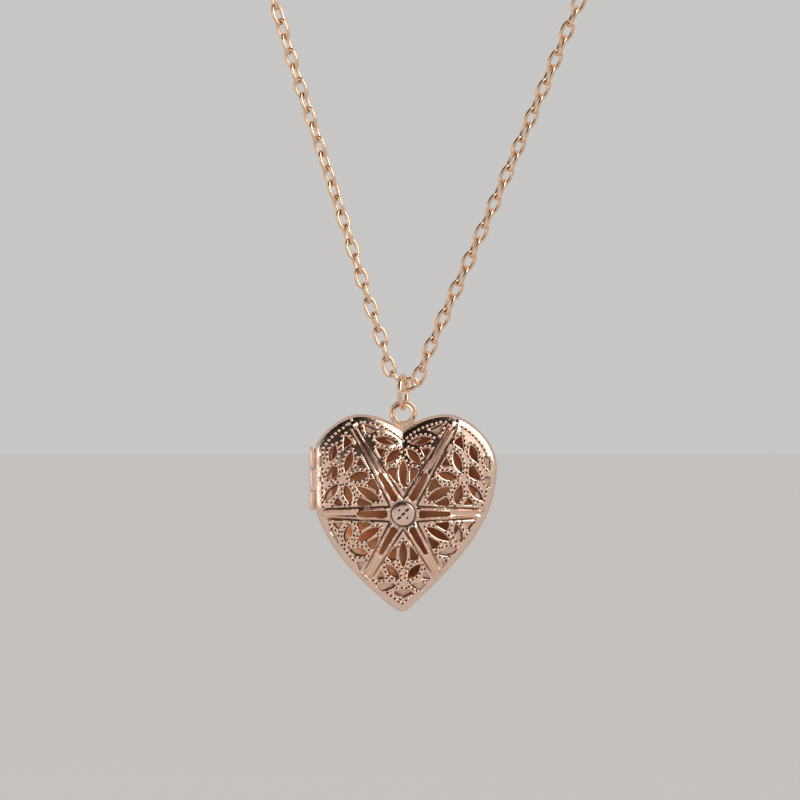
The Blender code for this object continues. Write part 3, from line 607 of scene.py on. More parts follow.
# Centre lines of the two strands in metres, from the lowest link upwards.
LEFT_ROUTE = (
    (-0.00195, 0, -0.06755), (-0.00316, 0, -0.06313), (-0.00457, 0, -0.05894), (-0.0077, 0, -0.049),
    (-0.01115, 0, -0.0381), (-0.01456, 0, -0.0277), (-0.01718, 0, -0.0192), (-0.0192, 0, -0.01257),
)
RIGHT_ROUTE = (
    (0.0022, 0, -0.06865), (0.00393, 0, -0.06425), (0.0057, 0, -0.06029), (0.00754, 0, -0.05616),
    (0.0116, 0, -0.047), (0.01575, 0, -0.0375), (0.01992, 0, -0.0277), (0.02334, 0, -0.0194),
    (0.02597, 0, -0.01297),
)

# Each strand: where its first link's middle lies, its number of links, and how far it has twisted
# at some of them, in degrees.
LEFT_START = 0.35
LEFT_LINKS = 27
LEFT_TWIST = ((0, 4), (5, 12), (10, 32), (14, 52), (19, 62), (23, 58), (24, 40), (25, 20), (26, 0))
RIGHT_START = 0.03
RIGHT_LINKS = 28
RIGHT_TWIST = ((0, 14), (4, 26), (10, 22), (16, 30), (22, 24), (25, 12), (27, 0))


def smooth_route(route):
    """Fine points along a smooth curve through a strand's own points, and the length up to each."""
    points = np.array(route) / MM
    ends = np.vstack([2 * points[0] - points[1], points, 2 * points[-1] - points[-2]])
    fine = []
    for a, b, c, d in zip(ends, ends[1:], ends[2:], ends[3:]):
        for t in np.arange(0, 1, 0.05):
            fine.append(0.5 * (2 * b + (c - a) * t + (2 * a - 5 * b + 4 * c - d) * t**2
                               + (3 * b - a - 3 * c + d) * t**3))
    fine = np.array([*fine, points[-1]])
    return fine, np.r_[0, np.cumsum(np.linalg.norm(np.diff(fine, axis=0), axis=1))]


def along_route(fine, run, at):
    place = np.array([np.interp(at, run, fine[:, i]) for i in range(3)])
    ahead = np.array([np.interp(at + 0.6, run, fine[:, i]) for i in range(3)])
    behind = np.array([np.interp(at - 0.6, run, fine[:, i]) for i in range(3)])
    up = ahead - behind
    return place, up / np.linalg.norm(up)


def oval_link(centre, along, across, length):
    half_length = (length - LINK_WIRE) / 2
    half_width = (LINK_WIDTH - LINK_WIRE) / 2
    return wire_loop(centre, along, across, half_length, half_width, LINK_WIRE, 40, 14)


def make_strand(name, node, route, start, count, twist, material):
    """A strand of interlocking oval links, each turned a quarter from the one before."""
    fine, run = smooth_route(route)
    pitch = (run[-1] - RING_REACH - start) / (count - 1)
    length = pitch + 2 * LINK_WIRE
    rng = np.random.default_rng(len(name) + count)
    parts = []
    for k in range(count):
        centre, up = along_route(fine, run, start + k * pitch)
        turn = math.radians(np.interp(k, *zip(*twist)) + 90 * (k % 2))
        if 0 < k < count - 1:
            turn += math.radians(rng.uniform(-LINK_TURN, LINK_TURN))
            up = up + np.cross(up, (0, 1, 0)) * rng.uniform(-LINK_TILT, LINK_TILT)
            up /= np.linalg.norm(up)
        sideways = np.cross((0, 1, 0), up)
        across = sideways * math.cos(turn) + np.cross(up, sideways) * math.sin(turn)
        parts.append(oval_link(centre, up, across, length))
    verts, faces = joined(parts)
    patina = contact_patina(parts)
    made = make(name, verts, faces, "chain", "warm_gold", material, [node], 60, patina=patina)


def contact_patina(parts):
    """Painted shade: a little darkening where each link bears on its neighbours."""
    found = []
    centres = np.array([verts.mean(0) for verts, _ in parts])
    for k, (verts, _) in enumerate(parts):
        ends = [centres[k + step] for step in (-1, 1) if 0 <= k + step < len(parts)]
        middles = np.array([(centres[k] + end) / 2 for end in ends])
        near = np.linalg.norm(verts[:, None] - middles, axis=2).min(1)
        found.append(np.clip(1 - near / BEARING_REACH, 0, 1) * BEARING_SHADE)
    return np.concatenate(found)


def make_vertex_links(material):
    """The two links that cross at the chain's lowest point, inside the jump ring."""
    half = (LINK_LENGTH - LINK_WIRE) / 2
    left = np.array([math.cos(LEFT_LINK_ANGLE), 0, math.sin(LEFT_LINK_ANGLE)])
    right = np.array([math.cos(RIGHT_LINK_ANGLE), 0, math.sin(RIGHT_LINK_ANGLE)])
    made = oval_link(VERTEX - left * half, left, (0, 1, 0), LINK_LENGTH)
    make("low_link_left", *made, "chain", "warm_gold", material, ["chain_link_left"], 60)
    across = np.cross(right, (0, 1, 0))
    made = oval_link(VERTEX + right * (half - LINK_HOOK), right, across, LINK_LENGTH)
    make("low_link_right", *made, "chain", "warm_gold", material, ["chain_link_right"], 60)


# ---- ends of the chain

CORD_GAP = 0.2
END_RING_STEPS = (72, 18)
SEAM_STEP = 19
SEAM_PATINA = 0.7
CLASP_RING_RADIUS = 1.5
CLASP_RING_WIRE = 0.6
END_RING_RADIUS = 1.85
END_RING_WIRE = 0.7
CLASP_HALF_WIDTH = 2.4
CLASP_HALF_LENGTH = 3.3
CLASP_THICKNESS = 1.5
MOUTH_HALF_WIDTH = 1.45
MOUTH_HALF_LENGTH = 2.1
MOUTH_RISE = 0.35
EYE_RADIUS = 1.3
EYE_HOLE = 0.75
EYE_DROP = 4.15
GATE_LOW = -1.0
GATE_HIGH = 1.8
GATE_LEFT = 0.85
LEVER_TOP = 1.6
LEVER_PIVOT = (1.15, -1.75)
LEVER_HUB = 0.7
LEVER_THICKNESS = 0.6
LEVER_PIN = 0.26
LEVER_CLEARANCE = 0.06
LEVER_LOW = -1.6
THUMB = (2.5, -0.55)
THUMB_RADIUS = 0.55
SLOT_LEFT = -0.45
SLOT_BOTTOM = -2.65


class End:
    """The frame at a strand's upper end: up along the strand, across it, and towards -Y."""

    def __init__(self, route):
        fine, run = smooth_route(route)
        self.start = fine[-1]
        behind = np.array([np.interp(run[-1] - 4.2, run, fine[:, i]) for i in range(3)])
        self.up = (fine[-1] - behind) / np.linalg.norm(fine[-1] - behind)
        self.across = np.cross((0, 1, 0), self.up)

    def about(self, rise):
        """A lift function for plates drawn about a point on the strand's line."""

        def lift(p, q, level):
            level = np.broadcast_to(level, np.shape(p))
            flat = np.multiply.outer(p, self.across) + np.multiply.outer(q + rise, self.up)
            return self.start + flat - np.multiply.outer(level, (0, 1, 0))

        return lift


def make_end_ring(name, node, end, across, radius, wire, material):
    """A soldered round ring, with a faint seam where its ends meet."""
    centre = end.start + end.up * (CORD_GAP + radius + wire / 2)
    steps, sides = END_RING_STEPS
    verts, faces = wire_loop(centre, end.up, across, radius, radius, wire, steps, sides)
    turn = np.repeat(np.arange(steps), sides)
    seam = np.where(turn == SEAM_STEP, SEAM_PATINA, 0.0)
    return make(name, verts, faces, "chain", "warm_gold", material, [node], 60, patina=seam)


def lever_outline():
    """The lever: a hub on the pin, an arm that fills the gate, and a thumb piece."""
    hub = circle(*LEVER_PIVOT, LEVER_HUB, 28)
    edge = 0.1
    outer = ellipse(0, 0, CLASP_HALF_WIDTH - edge, CLASP_HALF_LENGTH - edge, 80)
    inner = ellipse(0, MOUTH_RISE, MOUTH_HALF_WIDTH, MOUTH_HALF_LENGTH, 64)
    arm = outer[(outer[:, 0] > 1.0) & (outer[:, 1] > LEVER_LOW) & (outer[:, 1] < LEVER_TOP)]
    back = inner[(inner[:, 0] > 0.8) & (inner[:, 1] > LEVER_LOW) & (inner[:, 1] < LEVER_TOP)]
    arm = arm[np.argsort(arm[:, 1])]
    back = back[np.argsort(-back[:, 1])]
    return [hub, np.vstack([arm, back]), circle(*THUMB, THUMB_RADIUS, 24)]


def make_clasp(end, material):
    """Body, lever and pin of the lobster clasp."""
    lift = end.about(CORD_GAP + CLASP_RING_WIRE / 2 + 2 * CLASP_RING_RADIUS + EYE_DROP)
    half = CLASP_THICKNESS / 2
    oval = ellipse(0, 0, CLASP_HALF_WIDTH, CLASP_HALF_LENGTH, 72)
    eye = circle(0, -EYE_DROP, EYE_RADIUS, 40)
    mouth = ellipse(0, MOUTH_RISE, MOUTH_HALF_WIDTH, MOUTH_HALF_LENGTH, 60)
    gate = box(GATE_LEFT, GATE_LOW, CLASP_HALF_WIDTH + 0.3, GATE_HIGH)
    bore = circle(*LEVER_PIVOT, LEVER_PIN + LEVER_CLEARANCE, 20)
    hole = circle(0, -EYE_DROP, EYE_HOLE, 28)
    body = pillow([oval, eye], [mouth, gate, hole], -half, half, 0.42, lift)
    slot_half = LEVER_THICKNESS / 2 + LEVER_CLEARANCE
    slot = box(SLOT_LEFT, SLOT_BOTTOM, CLASP_HALF_WIDTH + 0.3, GATE_LOW + 0.3)
    body = carved(body, pillow([slot], [], -slot_half, slot_half, 0.01, lift))
    made = [make("clasp_case", *body, "chain", "warm_gold", material, ["clasp_body"], 50)]
    half_lever = LEVER_THICKNESS / 2
    shape = pillow(lever_outline(), [bore], -half_lever, half_lever, 0.14, lift, step=0.3)
    made.append(make("clasp_trigger", *shape, "lever", "warm_gold", material, ["clasp_lever"], 50))
    pin = pillow([circle(*LEVER_PIVOT, LEVER_PIN, 32)], [], -half - 0.08, half + 0.08, 0.1, lift)
    made.append(make("clasp_rivet", *pin, "chain", "warm_gold", material, ["clasp_pin"], 50))
    return made


def carved(body, cutter):
    """A body less a cutter, as verts and faces in millimetres."""
    objects = []
    for name, (verts, faces) in (("carved", body), ("cutter", cutter)):
        mesh = bpy.data.meshes.new(name)
        mesh.from_pydata(np.asarray(verts).tolist(), [], np.asarray(faces).tolist())
        objects.append(linked(name, mesh))
    cut = objects[0].modifiers.new("cut", "BOOLEAN")
    cut.object = objects[1]
    graph = bpy.context.evaluated_depsgraph_get()
    mesh = objects[0].evaluated_get(graph).to_mesh()
    verts = np.array([tuple(v.co) for v in mesh.vertices])
    faces = [tuple(f.vertices) for f in mesh.polygons]
    for made in objects:
        bpy.data.objects.remove(made)
    return verts, faces


# ---- shells

SHEET = 0.3
RIM_HEIGHT = 1.0
PEAK_HEIGHT = 3.3
FACET_DEPTH = 0.16
PARTING_GAP = 0.05
BACK_LIP = 0.2
RIM_BAND = 0.65
SECTORS = 6
SECTOR = TAU / SECTORS
RIB_HALF_OUTER = 0.48
RIB_HALF_INNER = 0.9
RIB_RISE = 0.2
RIB_START = 2.1
RIB_END = 12.5
RIB_LEAD_IN = 0.5
RIB_RUN_OUT = 0.04
SLOT_INNER = 2.7
SLOT_OUTER = 6.4
SLOT_HALF_INNER = 0.48
SLOT_HALF_OUTER = 0.23
BOSS_RADIUS = 1.6
BOSS_EDGE = 1.85
BOSS_RISE = 0.15

# Openings of one sector, as (distance out from the boss, sideways). A petal is two ends and a width.
# A fullness of 1 makes a petal a plain pointed oval, and less makes it blunter.
PETAL_FULLNESS = 0.72
STEM_PETAL = ((3.9, 0.0), (7.55, 0.0), 1.1)
FLOWER_PETAL = ((9.15, 0.6), (7.2, 2.4), 1.1)
WING_PETAL = ((10.1, 1.05), (10.7, 4.0), 1.05)
CROWN_PETAL = ((12.7, 1.3), (13.2, 3.6), 1.1)
TOP_PETAL = ((14.15, -1.25), (14.15, 1.25), 1.15)
STEM_LEAF = ((4.55, 0.98), (4.75, 1.25), (6.05, 2.2), (6.5, 1.95), (6.55, 0.98))
RIB_FILLER = ((8.0, 3.15), (9.35, 3.9), (9.2, 2.6))
CORNER_FILLER = ((11.25, 5.2), (12.85, 5.6), (11.95, 3.7))
BUD = ((10.75, 0.0), (11.4, 1.05), (12.15, 0.9), (12.15, -0.9), (11.4, -1.05))
TIP_CHEVRON = ((10.8, 0.0), (10.95, -1.2), (11.3, -1.3), (12.0, 0.0), (11.3, 1.3), (10.95, 1.2))

# Fine relief. SHELL_CREASE is the angle, in degrees, that an edge needs to look sharp.
SHELL_CREASE = 38
GROOVE_SIDE = 0.16
GROOVE_HALF = 0.17
GROOVE_DEPTH = 0.17
BOSS_GROOVE = 1.72
BOSS_GROOVE_HALF = 0.15
RIM_ROUND = 0.28
CUT_ROUND = 0.09
CUT_LIP = 0.045
BEAD_RADIUS = 0.25
BEAD_SINK = 0.04
BEAD_GAP = 0.31
BEAD_PITCH = 0.67
PIT_RADIUS = 0.165
PIT_DEPTH = 0.2
RIM_ROW = 0.95
DASH_SPREAD = 0.56
DASH_SLANT = (0.13, 0.10)
CUT_LEAN = 0.3
LOOP_GAP = 0.035
# Even painted shade on every inner face.
INNER_SHADE = 0.12
LINE_INSET = 1.02
LINE_HALF = 0.12
LINE_DEPTH = 0.05


class Dome:
    """The height of a shell's outer face over the parting plane."""

    def __init__(self, outline, ribbed):
        self.ribbed = ribbed
        turn = np.arctan2(outline[:, 1], outline[:, 0])
        order = np.argsort(turn)
        self.turn = turn[order]
        self.reach = np.linalg.norm(outline, axis=1)[order]

    def height(self, x, z):
        radius, turn = np.hypot(x, z), np.arctan2(z, x)
        out = radius / np.interp(turn, self.turn, self.reach, period=TAU)
        from_rib = off_rib(turn)
        between = np.abs(from_rib) / (SECTOR / 2)
        sunk = np.clip(out * (1 + FACET_DEPTH * between * (1 - out)), 0, 1)
        level = RIM_HEIGHT + (PEAK_HEIGHT - RIM_HEIGHT) * (1 - sunk**2)
        if not self.ribbed:
            return level
        share = np.abs(radius * np.sin(from_rib)) / rib_half(radius)
        ridge = smooth_steps(share, (0.3, 0.62, 0.8, 1.05), (0.0, 1.0, 1.0, 0.0))
        fade = np.clip((radius - RIB_START) / RIB_LEAD_IN, 0, 1) * np.clip((1 - out) / RIB_RUN_OUT, 0, 1)
        boss = smooth_steps(radius, (0, BOSS_RADIUS, BOSS_EDGE), (BOSS_RISE * 1.25, BOSS_RISE, 0))
        return level + RIB_RISE * ridge * fade + boss


def off_rib(turn):
    """The angle from the nearest rib's middle line."""
    return (turn + SECTOR / 2) % SECTOR - SECTOR / 2


def smooth_steps(value, at, levels):
    """Interpolation that is flat at each given point."""
    value = np.asarray(value, float)
    found = np.full(value.shape, levels[0], float)
    for a, b, low, high in zip(at, at[1:], levels, levels[1:]):
        t = np.clip((value - a) / (b - a), 0, 1)
        found = np.where(value >= a, low + (high - low) * t * t * (3 - 2 * t), found)
    return found


def rib_half(radius):
    """Half the width of a rib at a distance from the boss."""
    return np.interp(radius, (RIB_START, RIB_END), (RIB_HALF_INNER, RIB_HALF_OUTER))


def from_ribs(points):
    """Each point's distance from the boss and from the nearest rib's middle line."""
    radius, turn = np.hypot(*points.T), np.arctan2(points[:, 1], points[:, 0])
    return radius, np.abs(radius * np.sin(off_rib(turn)))


def in_sector(points, number):
    """Sector points, (outwards, sideways), in the locket's plane, as an anticlockwise loop."""
    axis = math.pi / 2 - number * SECTOR
    points = np.array(points, float)
    out = np.array([math.cos(axis), math.sin(axis)])
    right = np.array([math.sin(axis), -math.cos(axis)])
    return anticlockwise(points[:, :1] * out + points[:, 1:] * right)


def both_sides(shape):
    """A shape on the right of a sector's axis, and its mirror image on the left."""
    return [shape, (shape * (1, -1))[::-1]]


def corners(shape):
    """A shape with straight sides, its corners eased a little."""
    return soften(np.array(shape), 2, 0.12)


def flower(number):
    """The openings of one sector: petals round a small flower, with fillers beside the ribs.

    A sector has only the outer openings that the heart leaves room for.
    """
    top, upper_right, lower_right, bottom, lower_left, upper_left = range(SECTORS)
    shapes = [petal(*STEM_PETAL, 14)]
    shapes += both_sides(corners(STEM_LEAF))
    shapes += both_sides(petal(*FLOWER_PETAL, 12))
    shapes += both_sides(corners(RIB_FILLER))
    right, left = both_sides(petal(*WING_PETAL, 12))
    if number != lower_right:
        shapes.append(right)
    if number != lower_left:
        shapes.append(left)
    right, left = both_sides(corners(CORNER_FILLER))
    if number in (top, upper_left):
        shapes.append(right)
    if number in (top, upper_right):
        shapes.append(left)
    if number == bottom:
        shapes.append(corners(TIP_CHEVRON))
    if number in (upper_right, upper_left):
        shapes.append(corners(BUD))
        shapes += both_sides(petal(*CROWN_PETAL, 12))
        shapes.append(petal(*TOP_PETAL, 12))
    return shapes


def rib_slot(number):
    """The keyhole slot through the channel of one rib."""
    bulb = circle(SLOT_INNER, 0, SLOT_HALF_INNER, 20)[5:16]
    tail = circle(SLOT_OUTER, 0, SLOT_HALF_OUTER, 16)[[12, 13, 14, 15, 0, 1, 2, 3, 4]]
    turn = number * SECTOR
    c, s = math.cos(turn), math.sin(turn)
    return anticlockwise(np.vstack([tail, bulb]) @ np.array([(c, s), (-s, c)]))


def boss_dashes():
    """Places of the pits that make the boss's five small marks, three of which are slanting dashes."""
    dots = DASH_SPREAD * np.array([(-1, 1), (1, -1), (0, 0), (1, 1), (-1, -1)])
    slant = np.array(DASH_SLANT)
    return np.vstack([dots, dots[2:] + slant, dots[2:] - slant])


def bead_rows(outline, petals, cuts, band):
    """Places of the raised granules, and of the small pits between them."""
    rows = [offset(outline, -RIM_ROW)]
    rows += [offset(loop, BEAD_GAP) for loop in petals]
    beads = np.vstack([spaced(row, BEAD_PITCH) for row in rows])
    pits = np.vstack([spaced(row, BEAD_PITCH, 0.5) for row in rows])
    found = []
    for spots, gap, clear in ((beads, 0.47, 0.235), (pits, 0.38, 0.17)):
        radius, side = from_ribs(spots)
        good = inside(spots, outline) & (edge_distance(spots, outline) > RIM_ROW - 0.1)
        good &= side > rib_half(radius) + GROOVE_SIDE + GROOVE_HALF + 0.1
        for loop in cuts:
            near = edge_distance(spots, loop) < clear
            good &= ~((inside(spots, loop) | near) & inside(spots, band))
        spots = spots[good]
        spots = spots[thinned(spots, [gap] * len(spots))]
        found.append(spots)
    beads, pits = found
    apart = np.linalg.norm(pits[:, None] - beads, axis=2).min(1) > BEAD_RADIUS + PIT_RADIUS * 0.1
    return beads, pits[apart]


def grid_points(step):
    """A staggered grid over the heart."""
    rows = np.arange(TIP_Z - 0.3, LOBE_HEIGHT + 0.3, step * 0.87)
    columns = np.arange(-HEART_HALF_WIDTH - 0.3, HEART_HALF_WIDTH + 0.3, step)
    return np.array([(x + step / 2 * (i % 2), z) for i, z in enumerate(rows) for x in columns])


def rib_points():
    """Points along each rib's edges, ridges and channel, so that its shape shows."""
    points = []
    for k in range(SECTORS):
        c, s = math.cos(k * SECTOR), math.sin(k * SECTOR)
        for radius in np.arange(1.75, 14.2, 0.42):
            half = rib_half(radius)
            lines = [0.0, *(share * half for share in (0.3, 0.46, 0.62, 0.8, 0.93, 1.05))]
            lines += [half + GROOVE_SIDE + shift for shift in (-GROOVE_HALF, 0, GROOVE_HALF)]
            for line in lines:
                for side in {line, -line}:
                    points.append((radius * c - side * s, radius * s + side * c))
    return np.array(points)


def shell(outline, dome, cuts, loose, gaps, fine, front):
    """A domed shell with a straight rim wall, open towards the parting plane.

    cuts are the pierced shapes, which stop at the rim band. fine(points, from_cut, from_rim) gives
    the relief that is only on the outer face, and the painted shade there. Inner faces get an even
    painted shade. A front shell is pierced square to its sloping sheet, so its inner face leans in towards
    the boss.
    """
    wall = offset(outline, -SHEET)
    band = offset(outline, -RIM_BAND)
    loops = [outline, wall, band, *cuts]
    spread = np.full(len(loose), np.inf)
    for loop in loops:
        spread = np.minimum(spread, edge_distance(loose, loop))
    pierced = inside_any(loose, cuts) & inside(loose, band)
    keep = (spread > LOOP_GAP) & ~pierced & inside(loose, outline)
    loose, gaps = loose[keep], np.asarray(gaps)[keep]
    loose = loose[thinned(loose, gaps)]
    verts, faces = triangles(loops, loose)
    middle = verts[faces].mean(1)
    solid = inside(middle, outline) & ~(inside_any(middle, cuts) & inside(middle, band))
    faces, middle = faces[solid], middle[solid]
    under = inside(middle, wall)

    base = dome.height(verts[:, 0], verts[:, 1])
    border = np.array(rim_edges(faces))
    ends = verts[border]
    outer_edge = edge_distance(ends.mean(1), outline) < 0.02
    cut_edges = ends[~outer_edge]
    from_cut = np.full(len(verts), 9.0)
    if len(cut_edges):
        from_cut = edge_distance(verts, cut_edges[:, 0], cut_edges[:, 1])
    relief, dark = fine(verts, from_cut, edge_distance(verts, outline))
    levels = {"out": base + relief, "in": base - SHEET, "rim": np.full(len(verts), PARTING_GAP / 2)}
    radius = np.linalg.norm(verts, axis=1)
    lean = CUT_LEAN * np.clip(radius / 12, 0, 1) * np.clip((edge_distance(verts, outline) - 0.6) / 0.6, 0, 1)
    leaning = verts * (1 - lean / np.maximum(radius, 0.1))[:, None]
    places, patina, inner, number = [], [], [], {}

    def at(vertex, kind):
        if (vertex, kind) not in number:
            x, z = leaning[vertex] if kind == "in" and front else verts[vertex]
            number[vertex, kind] = len(places)
            places.append(on_face(x, z, levels[kind][vertex] * (1 if front else -1)))
            patina.append(dark[vertex] if kind == "out" else INNER_SHADE)
            inner.append(1.0 if kind == "in" else 0.0)
        return number[vertex, kind]

    made = [tuple(at(v, "out") for v in f) for f in faces.tolist()]
    made += [tuple(at(v, "in") for v in f[::-1]) for f in faces[under].tolist()]
    made += [tuple(at(v, "rim") for v in f[::-1]) for f in faces[~under].tolist()]
    wall_edges = set(rim_edges(faces[under]))
    for a, b in border.tolist():
        low = "in" if (a, b) in wall_edges else "rim"
        wall_edges.discard((a, b))
        top_a, top_b, low_a, low_b = at(a, "out"), at(b, "out"), at(a, low), at(b, low)
        made += [(top_b, top_a, low_a), (top_b, low_a, low_b)]
    for a, b in sorted(wall_edges):
        in_a, in_b, rim_a, rim_b = at(a, "in"), at(b, "in"), at(a, "rim"), at(b, "rim")
        made += [(in_a, in_b, rim_b), (in_a, rim_b, rim_a)]
    if not front:
        made = [f[::-1] for f in made]
    return np.array(places), made, np.array(patina), np.array(inner)


def rounding(distance, radius):
    """How far a rounded edge drops at a distance from the edge."""
    rest = radius - np.minimum(distance, radius)
    return radius - np.sqrt(np.maximum(radius**2 - rest**2, 0))


def bead_mesh():
    """A small ball of even faces."""
    verts, faces, rings, sides = [(0, 0, -1)], [], 5, 10
    for i in range(1, rings):
        turn = math.pi * i / rings
        for j in range(sides):
            a = TAU * j / sides
            verts.append((math.sin(turn) * math.cos(a), math.sin(turn) * math.sin(a), -math.cos(turn)))
    verts.append((0, 0, 1))
    last = len(verts) - 1
    for j in range(sides):
        k = (j + 1) % sides
        faces.append((0, 1 + k, 1 + j))
        for i in range(rings - 2):
            low, high = 1 + i * sides, 1 + (i + 1) * sides
            faces.append((low + j, low + k, high + k, high + j))
        faces.append((last - sides + j, last - sides + k, last))
    return np.array(verts), faces


def make_cover(outline, material):
    """The pierced front shell with its ribs, boss, granules and pits."""
    petals = [in_sector(shape, k) for k in range(SECTORS) for shape in flower(k)]
    cuts = petals + [rib_slot(k) for k in range(SECTORS)]
    band = offset(outline, -RIM_BAND)
    dome = Dome(outline, True)
    beads, pits = bead_rows(outline, petals, cuts, band)
    pits = np.vstack([pits, boss_dashes()])

    sources = [(pits, 0.03), (np.vstack([circle(*p, PIT_RADIUS * 0.55, 6) for p in pits]), 0.03)]
    sources.append((np.vstack([circle(*p, PIT_RADIUS, 8) for p in pits]), 0.045))
    rings = [circle(0, 0, BOSS_GROOVE + shift, 64) for shift in (-0.2, -0.12, 0, 0.12)]
    sources.append((np.vstack([*rings, circle(0, 0, 0.5, 12), circle(0, 0, 1.0, 24)]), 0.06))
    for shift in (0.04, 0.1, 0.2):
        near = [spaced(offset(loop, shift), 0.2) for loop in cuts]
        sources.append((np.vstack(near), 0.06))
    sources.append((rib_points(), 0.09))
    near = [spaced(offset(outline, -shift), 0.4) for shift in (0.03, 0.09, 0.18)]
    sources.append((np.vstack(near), 0.05))
    sources.append((grid_points(0.42), 0.26))
    loose = np.vstack([points for points, _ in sources])
    gaps = [gap for points, gap in sources for _ in range(len(points))]

    def fine(points, from_cut, from_rim):
        radius, side = from_ribs(points)
        off_groove = np.abs(side - rib_half(radius) - GROOVE_SIDE)
        groove = np.clip(1 - off_groove / GROOVE_HALF, 0, 1)
        groove *= np.clip((radius - 1.9) / 0.2, 0, 1) * np.clip((from_rim - 0.9) / 0.5, 0, 1)
        ring = np.clip(1 - np.abs(radius - BOSS_GROOVE) / BOSS_GROOVE_HALF, 0, 1)
        pit_distance = np.concatenate([
            np.linalg.norm(some[:, None] - pits, axis=2).min(1)
            for some in np.array_split(points, 40)
        ])
        pit = np.clip(1 - pit_distance / PIT_RADIUS, 0, 1)
        lip = np.clip(1 - np.abs(from_cut - 0.17) / 0.13, 0, 1)
        relief = CUT_LIP * lip - rounding(from_cut, CUT_ROUND) - rounding(from_rim, RIM_ROUND)
        relief -= GROOVE_DEPTH * groove + GROOVE_DEPTH * ring
        relief -= PIT_DEPTH * np.minimum(pit * 1.8, 1)
        # Painted shade in the rib grooves, the boss ring and the pits; the grooves' shade is weaker low down
        # and far out.
        fading = np.where(points[:, 1] > -1, 1.0, np.interp(radius, (3, 10), (1.0, 0.3)))
        dark = np.maximum.reduce([
            np.minimum(groove * 1.7, 1) * fading,
            np.minimum(ring * 2, 1),
            np.minimum(pit * 3, 1),
        ])
        return relief, dark

    verts, faces, patina, inner = shell(outline, dome, cuts, loose, gaps, fine, True)
    ball, ball_faces = bead_mesh()
    levels = dome.height(beads[:, 0], beads[:, 1])
    parts = [(verts, faces)]
    for (x, z), level in zip(beads, levels):
        parts.append((on_face(x, z, level - BEAD_SINK) + ball * BEAD_RADIUS, ball_faces))
    all_verts, all_faces = joined(parts)
    extra = np.zeros(len(all_verts) - len(verts))
    patina, inner = np.r_[patina, extra], np.r_[inner, extra]
    make("cover_shell", all_verts, all_faces, "cover", "rose_gold", material, ["front_shell"],
         SHELL_CREASE, patina=patina, inner=inner)


def make_case(outline, material):
    """The plain back shell, with a fine step round its edge and a soft border line."""
    back = hinge_flat(offset(outline, BACK_LIP))
    dome = Dome(back, False)
    near = [spaced(offset(back, -shift), 0.4) for shift in (0.03, 0.09, 0.18, 0.9, 1.02, 1.14, 1.5)]
    loose = np.vstack([*near, grid_points(0.6)])
    gaps = [0.05] * sum(map(len, near)) + [0.4] * (len(loose) - sum(map(len, near)))

    def fine(points, from_cut, from_rim):
        line = np.clip(1 - np.abs(from_rim - LINE_INSET) / LINE_HALF, 0, 1)
        # Painted shade darkens the border line's groove.
        return -rounding(from_rim, RIM_ROUND) - LINE_DEPTH * line, line * 0.55

    verts, faces, patina, inner = shell(back, dome, [], loose, gaps, fine, False)
    make("case_shell", verts, faces, "case", "rose_gold", material, ["back_shell"], SHELL_CREASE,
         patina=patina, inner=inner)


# ---- hinge, bail and rings

PIN_RADIUS = 0.18
PIN_CLEARANCE = 0.05
PIN_HEAD_RADIUS = 0.33
PIN_HEAD = 0.2
HINGE_TOP = 9.3
HINGE_BOTTOM = 0.6
MIDDLE_KNUCKLE = (3.25, 6.4)
KNUCKLE_GAP = 0.08
BAIL_Z = 14.25
BAIL_RADIUS = 1.95
BAIL_HOLE = 1.125
BAIL_THICKNESS = 0.8
BAIL_CHANNEL = 0.14
BAIL_CLEARANCE = 0.06
TAB_TIP_Z = 11.75
JUMP_WIRE = 0.7
JUMP_RADIUS = 2.35
JUMP_TURN = math.radians(12.5)
HANG_CLEARANCE = 0.06


def make_hinge(material):
    low, high = MIDDLE_KNUCKLE
    half = KNUCKLE_GAP / 2
    spans = (
        ("knuckle_middle", "hinge_knuckle_middle", "cover", -1, low + half, high - half),
        ("knuckle_upper", "hinge_knuckle_upper", "case", 1, high + half, HINGE_TOP),
        ("knuckle_lower", "hinge_knuckle_lower", "case", 1, HINGE_BOTTOM, low - half),
    )
    barrel = circle(HINGE_X, 0, KNUCKLE_RADIUS, 48)
    hole = circle(HINGE_X, 0, PIN_RADIUS + PIN_CLEARANCE, 28)
    for name, node, body, side, bottom, top in spans:
        corner = anticlockwise(box(HINGE_X, 0, HINGE_X + KNUCKLE_RADIUS, side * KNUCKLE_RADIUS))
        shape = pillow([barrel, corner], [hole], bottom, top, 0.09, upright, step=0.2)
        make(name, *shape, body, "rose_gold", material, [node])
    under, over = HINGE_BOTTOM - WALL_CLEARANCE, HINGE_TOP + WALL_CLEARANCE
    dome = [(PIN_HEAD_RADIUS * math.cos(t), PIN_HEAD * math.sin(t)) for t in np.linspace(0, 1.35, 6)]
    profile = [(r, under - z) for r, z in dome[::-1]] + [(PIN_RADIUS, under)]
    profile += [(PIN_RADIUS, over)] + [(r, over + z) for r, z in dome]
    shape = turned(profile, HINGE_X, 0, 32)
    make("hinge_rod", *shape, "case", "warm_gold", material, ["hinge_pin"], 50)


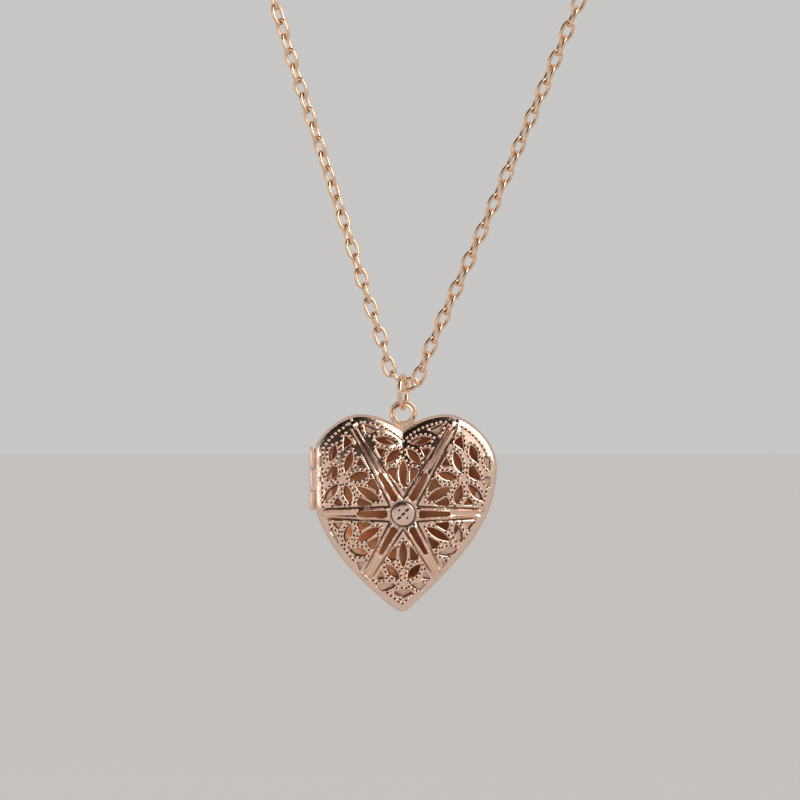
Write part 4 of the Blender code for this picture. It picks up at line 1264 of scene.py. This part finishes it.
def make_bail(outline, material):
    """The bail's ring and tab, with raised rims round its hole and its outer edge."""
    ring = circle(0, BAIL_Z, BAIL_RADIUS, 72)
    lean = math.acos(BAIL_RADIUS / (BAIL_Z - TAB_TIP_Z))
    touch = BAIL_RADIUS * math.sin(lean), BAIL_Z - BAIL_RADIUS * math.cos(lean)
    tab = np.array([(0, TAB_TIP_Z), touch, (0, BAIL_Z - BAIL_HOLE - 0.1), (-touch[0], touch[1])])
    hole = circle(0, BAIL_Z, BAIL_HOLE, 56)
    cleft = offset(hinge_flat(offset(outline, BACK_LIP)), BAIL_CLEARANCE)
    half = BAIL_THICKNESS / 2

    def channel(p, q):
        across = (np.hypot(p, q - BAIL_Z) - BAIL_HOLE) / (BAIL_RADIUS - BAIL_HOLE)
        deep = smooth_steps(across, (0.24, 0.40, 0.58, 0.74), (0.0, 1.0, 1.0, 0.0))
        return deep * np.clip((q - BAIL_Z + 0.9) / 0.9, 0, 1)

    def rims(p, q, from_edge):
        return -BAIL_CHANNEL * channel(p, q)

    verts, faces = pillow([ring, tab], [hole, cleft], -half, half, 0.1, on_face, rims, step=0.12)
    p, _, q = (verts - BOSS).T
    # Painted shade darkens the channel between the raised rims.
    make("bail_ring", verts, faces, "case", "warm_gold", material, ["bail"], 45,
         patina=channel(p, q) * 0.5)


def make_jump_ring(material):
    """The jump ring, a bent wire whose ends meet at a butt joint."""
    low = BAIL_Z + BAIL_HOLE - HANG_CLEARANCE - JUMP_WIRE / 2
    centre = BOSS + (0, 0, low + JUMP_RADIUS)
    across = (math.sin(JUMP_TURN), math.cos(JUMP_TURN), 0)
    shape = wire_loop(centre, (0, 0, 1), across, JUMP_RADIUS, JUMP_RADIUS, JUMP_WIRE, 96, 20,
                      gap=0.035, start=math.radians(62))
    make("jump_ring_wire", *shape, "ring", "warm_gold", material, ["jump_ring"], 50)


# ---- all of it

ROSE = metal("rose_gold", (0.96, 0.68, 0.54), (0.98, 0.75, 0.62), 0.14)
WARM = metal("warm_gold", (0.94, 0.64, 0.44), (0.97, 0.71, 0.50), 0.15)
PINK = metal("pink_plate", (0.96, 0.68, 0.52), (0.98, 0.74, 0.58), 0.32)
STEEL = metal("spring_steel", (0.60, 0.58, 0.56), (0.66, 0.64, 0.61), 0.30)

make_camera()
make_studio()

left_end, right_end = End(LEFT_ROUTE), End(RIGHT_ROUTE)
ring_sizes = (CLASP_RING_RADIUS, CLASP_RING_WIRE)
left_pieces = [make_end_ring("clasp_loop", "clasp_ring", left_end, (0, 1, 0), *ring_sizes, WARM)]
left_pieces += make_clasp(left_end, WARM) + [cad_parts["clasp_spring"]]
ring_sizes = (END_RING_RADIUS, END_RING_WIRE)
right_ring = make_end_ring("end_loop", "end_ring", right_end, right_end.across, *ring_sizes, WARM)
make_strand("strand_left", "chain_left", LEFT_ROUTE, LEFT_START, LEFT_LINKS, LEFT_TWIST,
            WARM)
make_strand("strand_right", "chain_right", RIGHT_ROUTE, RIGHT_START, RIGHT_LINKS, RIGHT_TWIST,
            WARM)
make_vertex_links(WARM)

OUTLINE = heart()
make_cover(OUTLINE, ROSE)
make_case(OUTLINE, ROSE)
make_hinge(ROSE)
make_bail(OUTLINE, WARM)
make_jump_ring(WARM)

for node, material in (
    ("front_photo_frame", PINK),
    ("back_photo_frame", PINK),
    ("catch_tongue", WARM),
    ("clasp_spring", STEEL),
):
    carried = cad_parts[node].data.materials
    carried.clear()
    carried.append(material)

bpy.context.scene.view_settings.view_transform = "Standard"
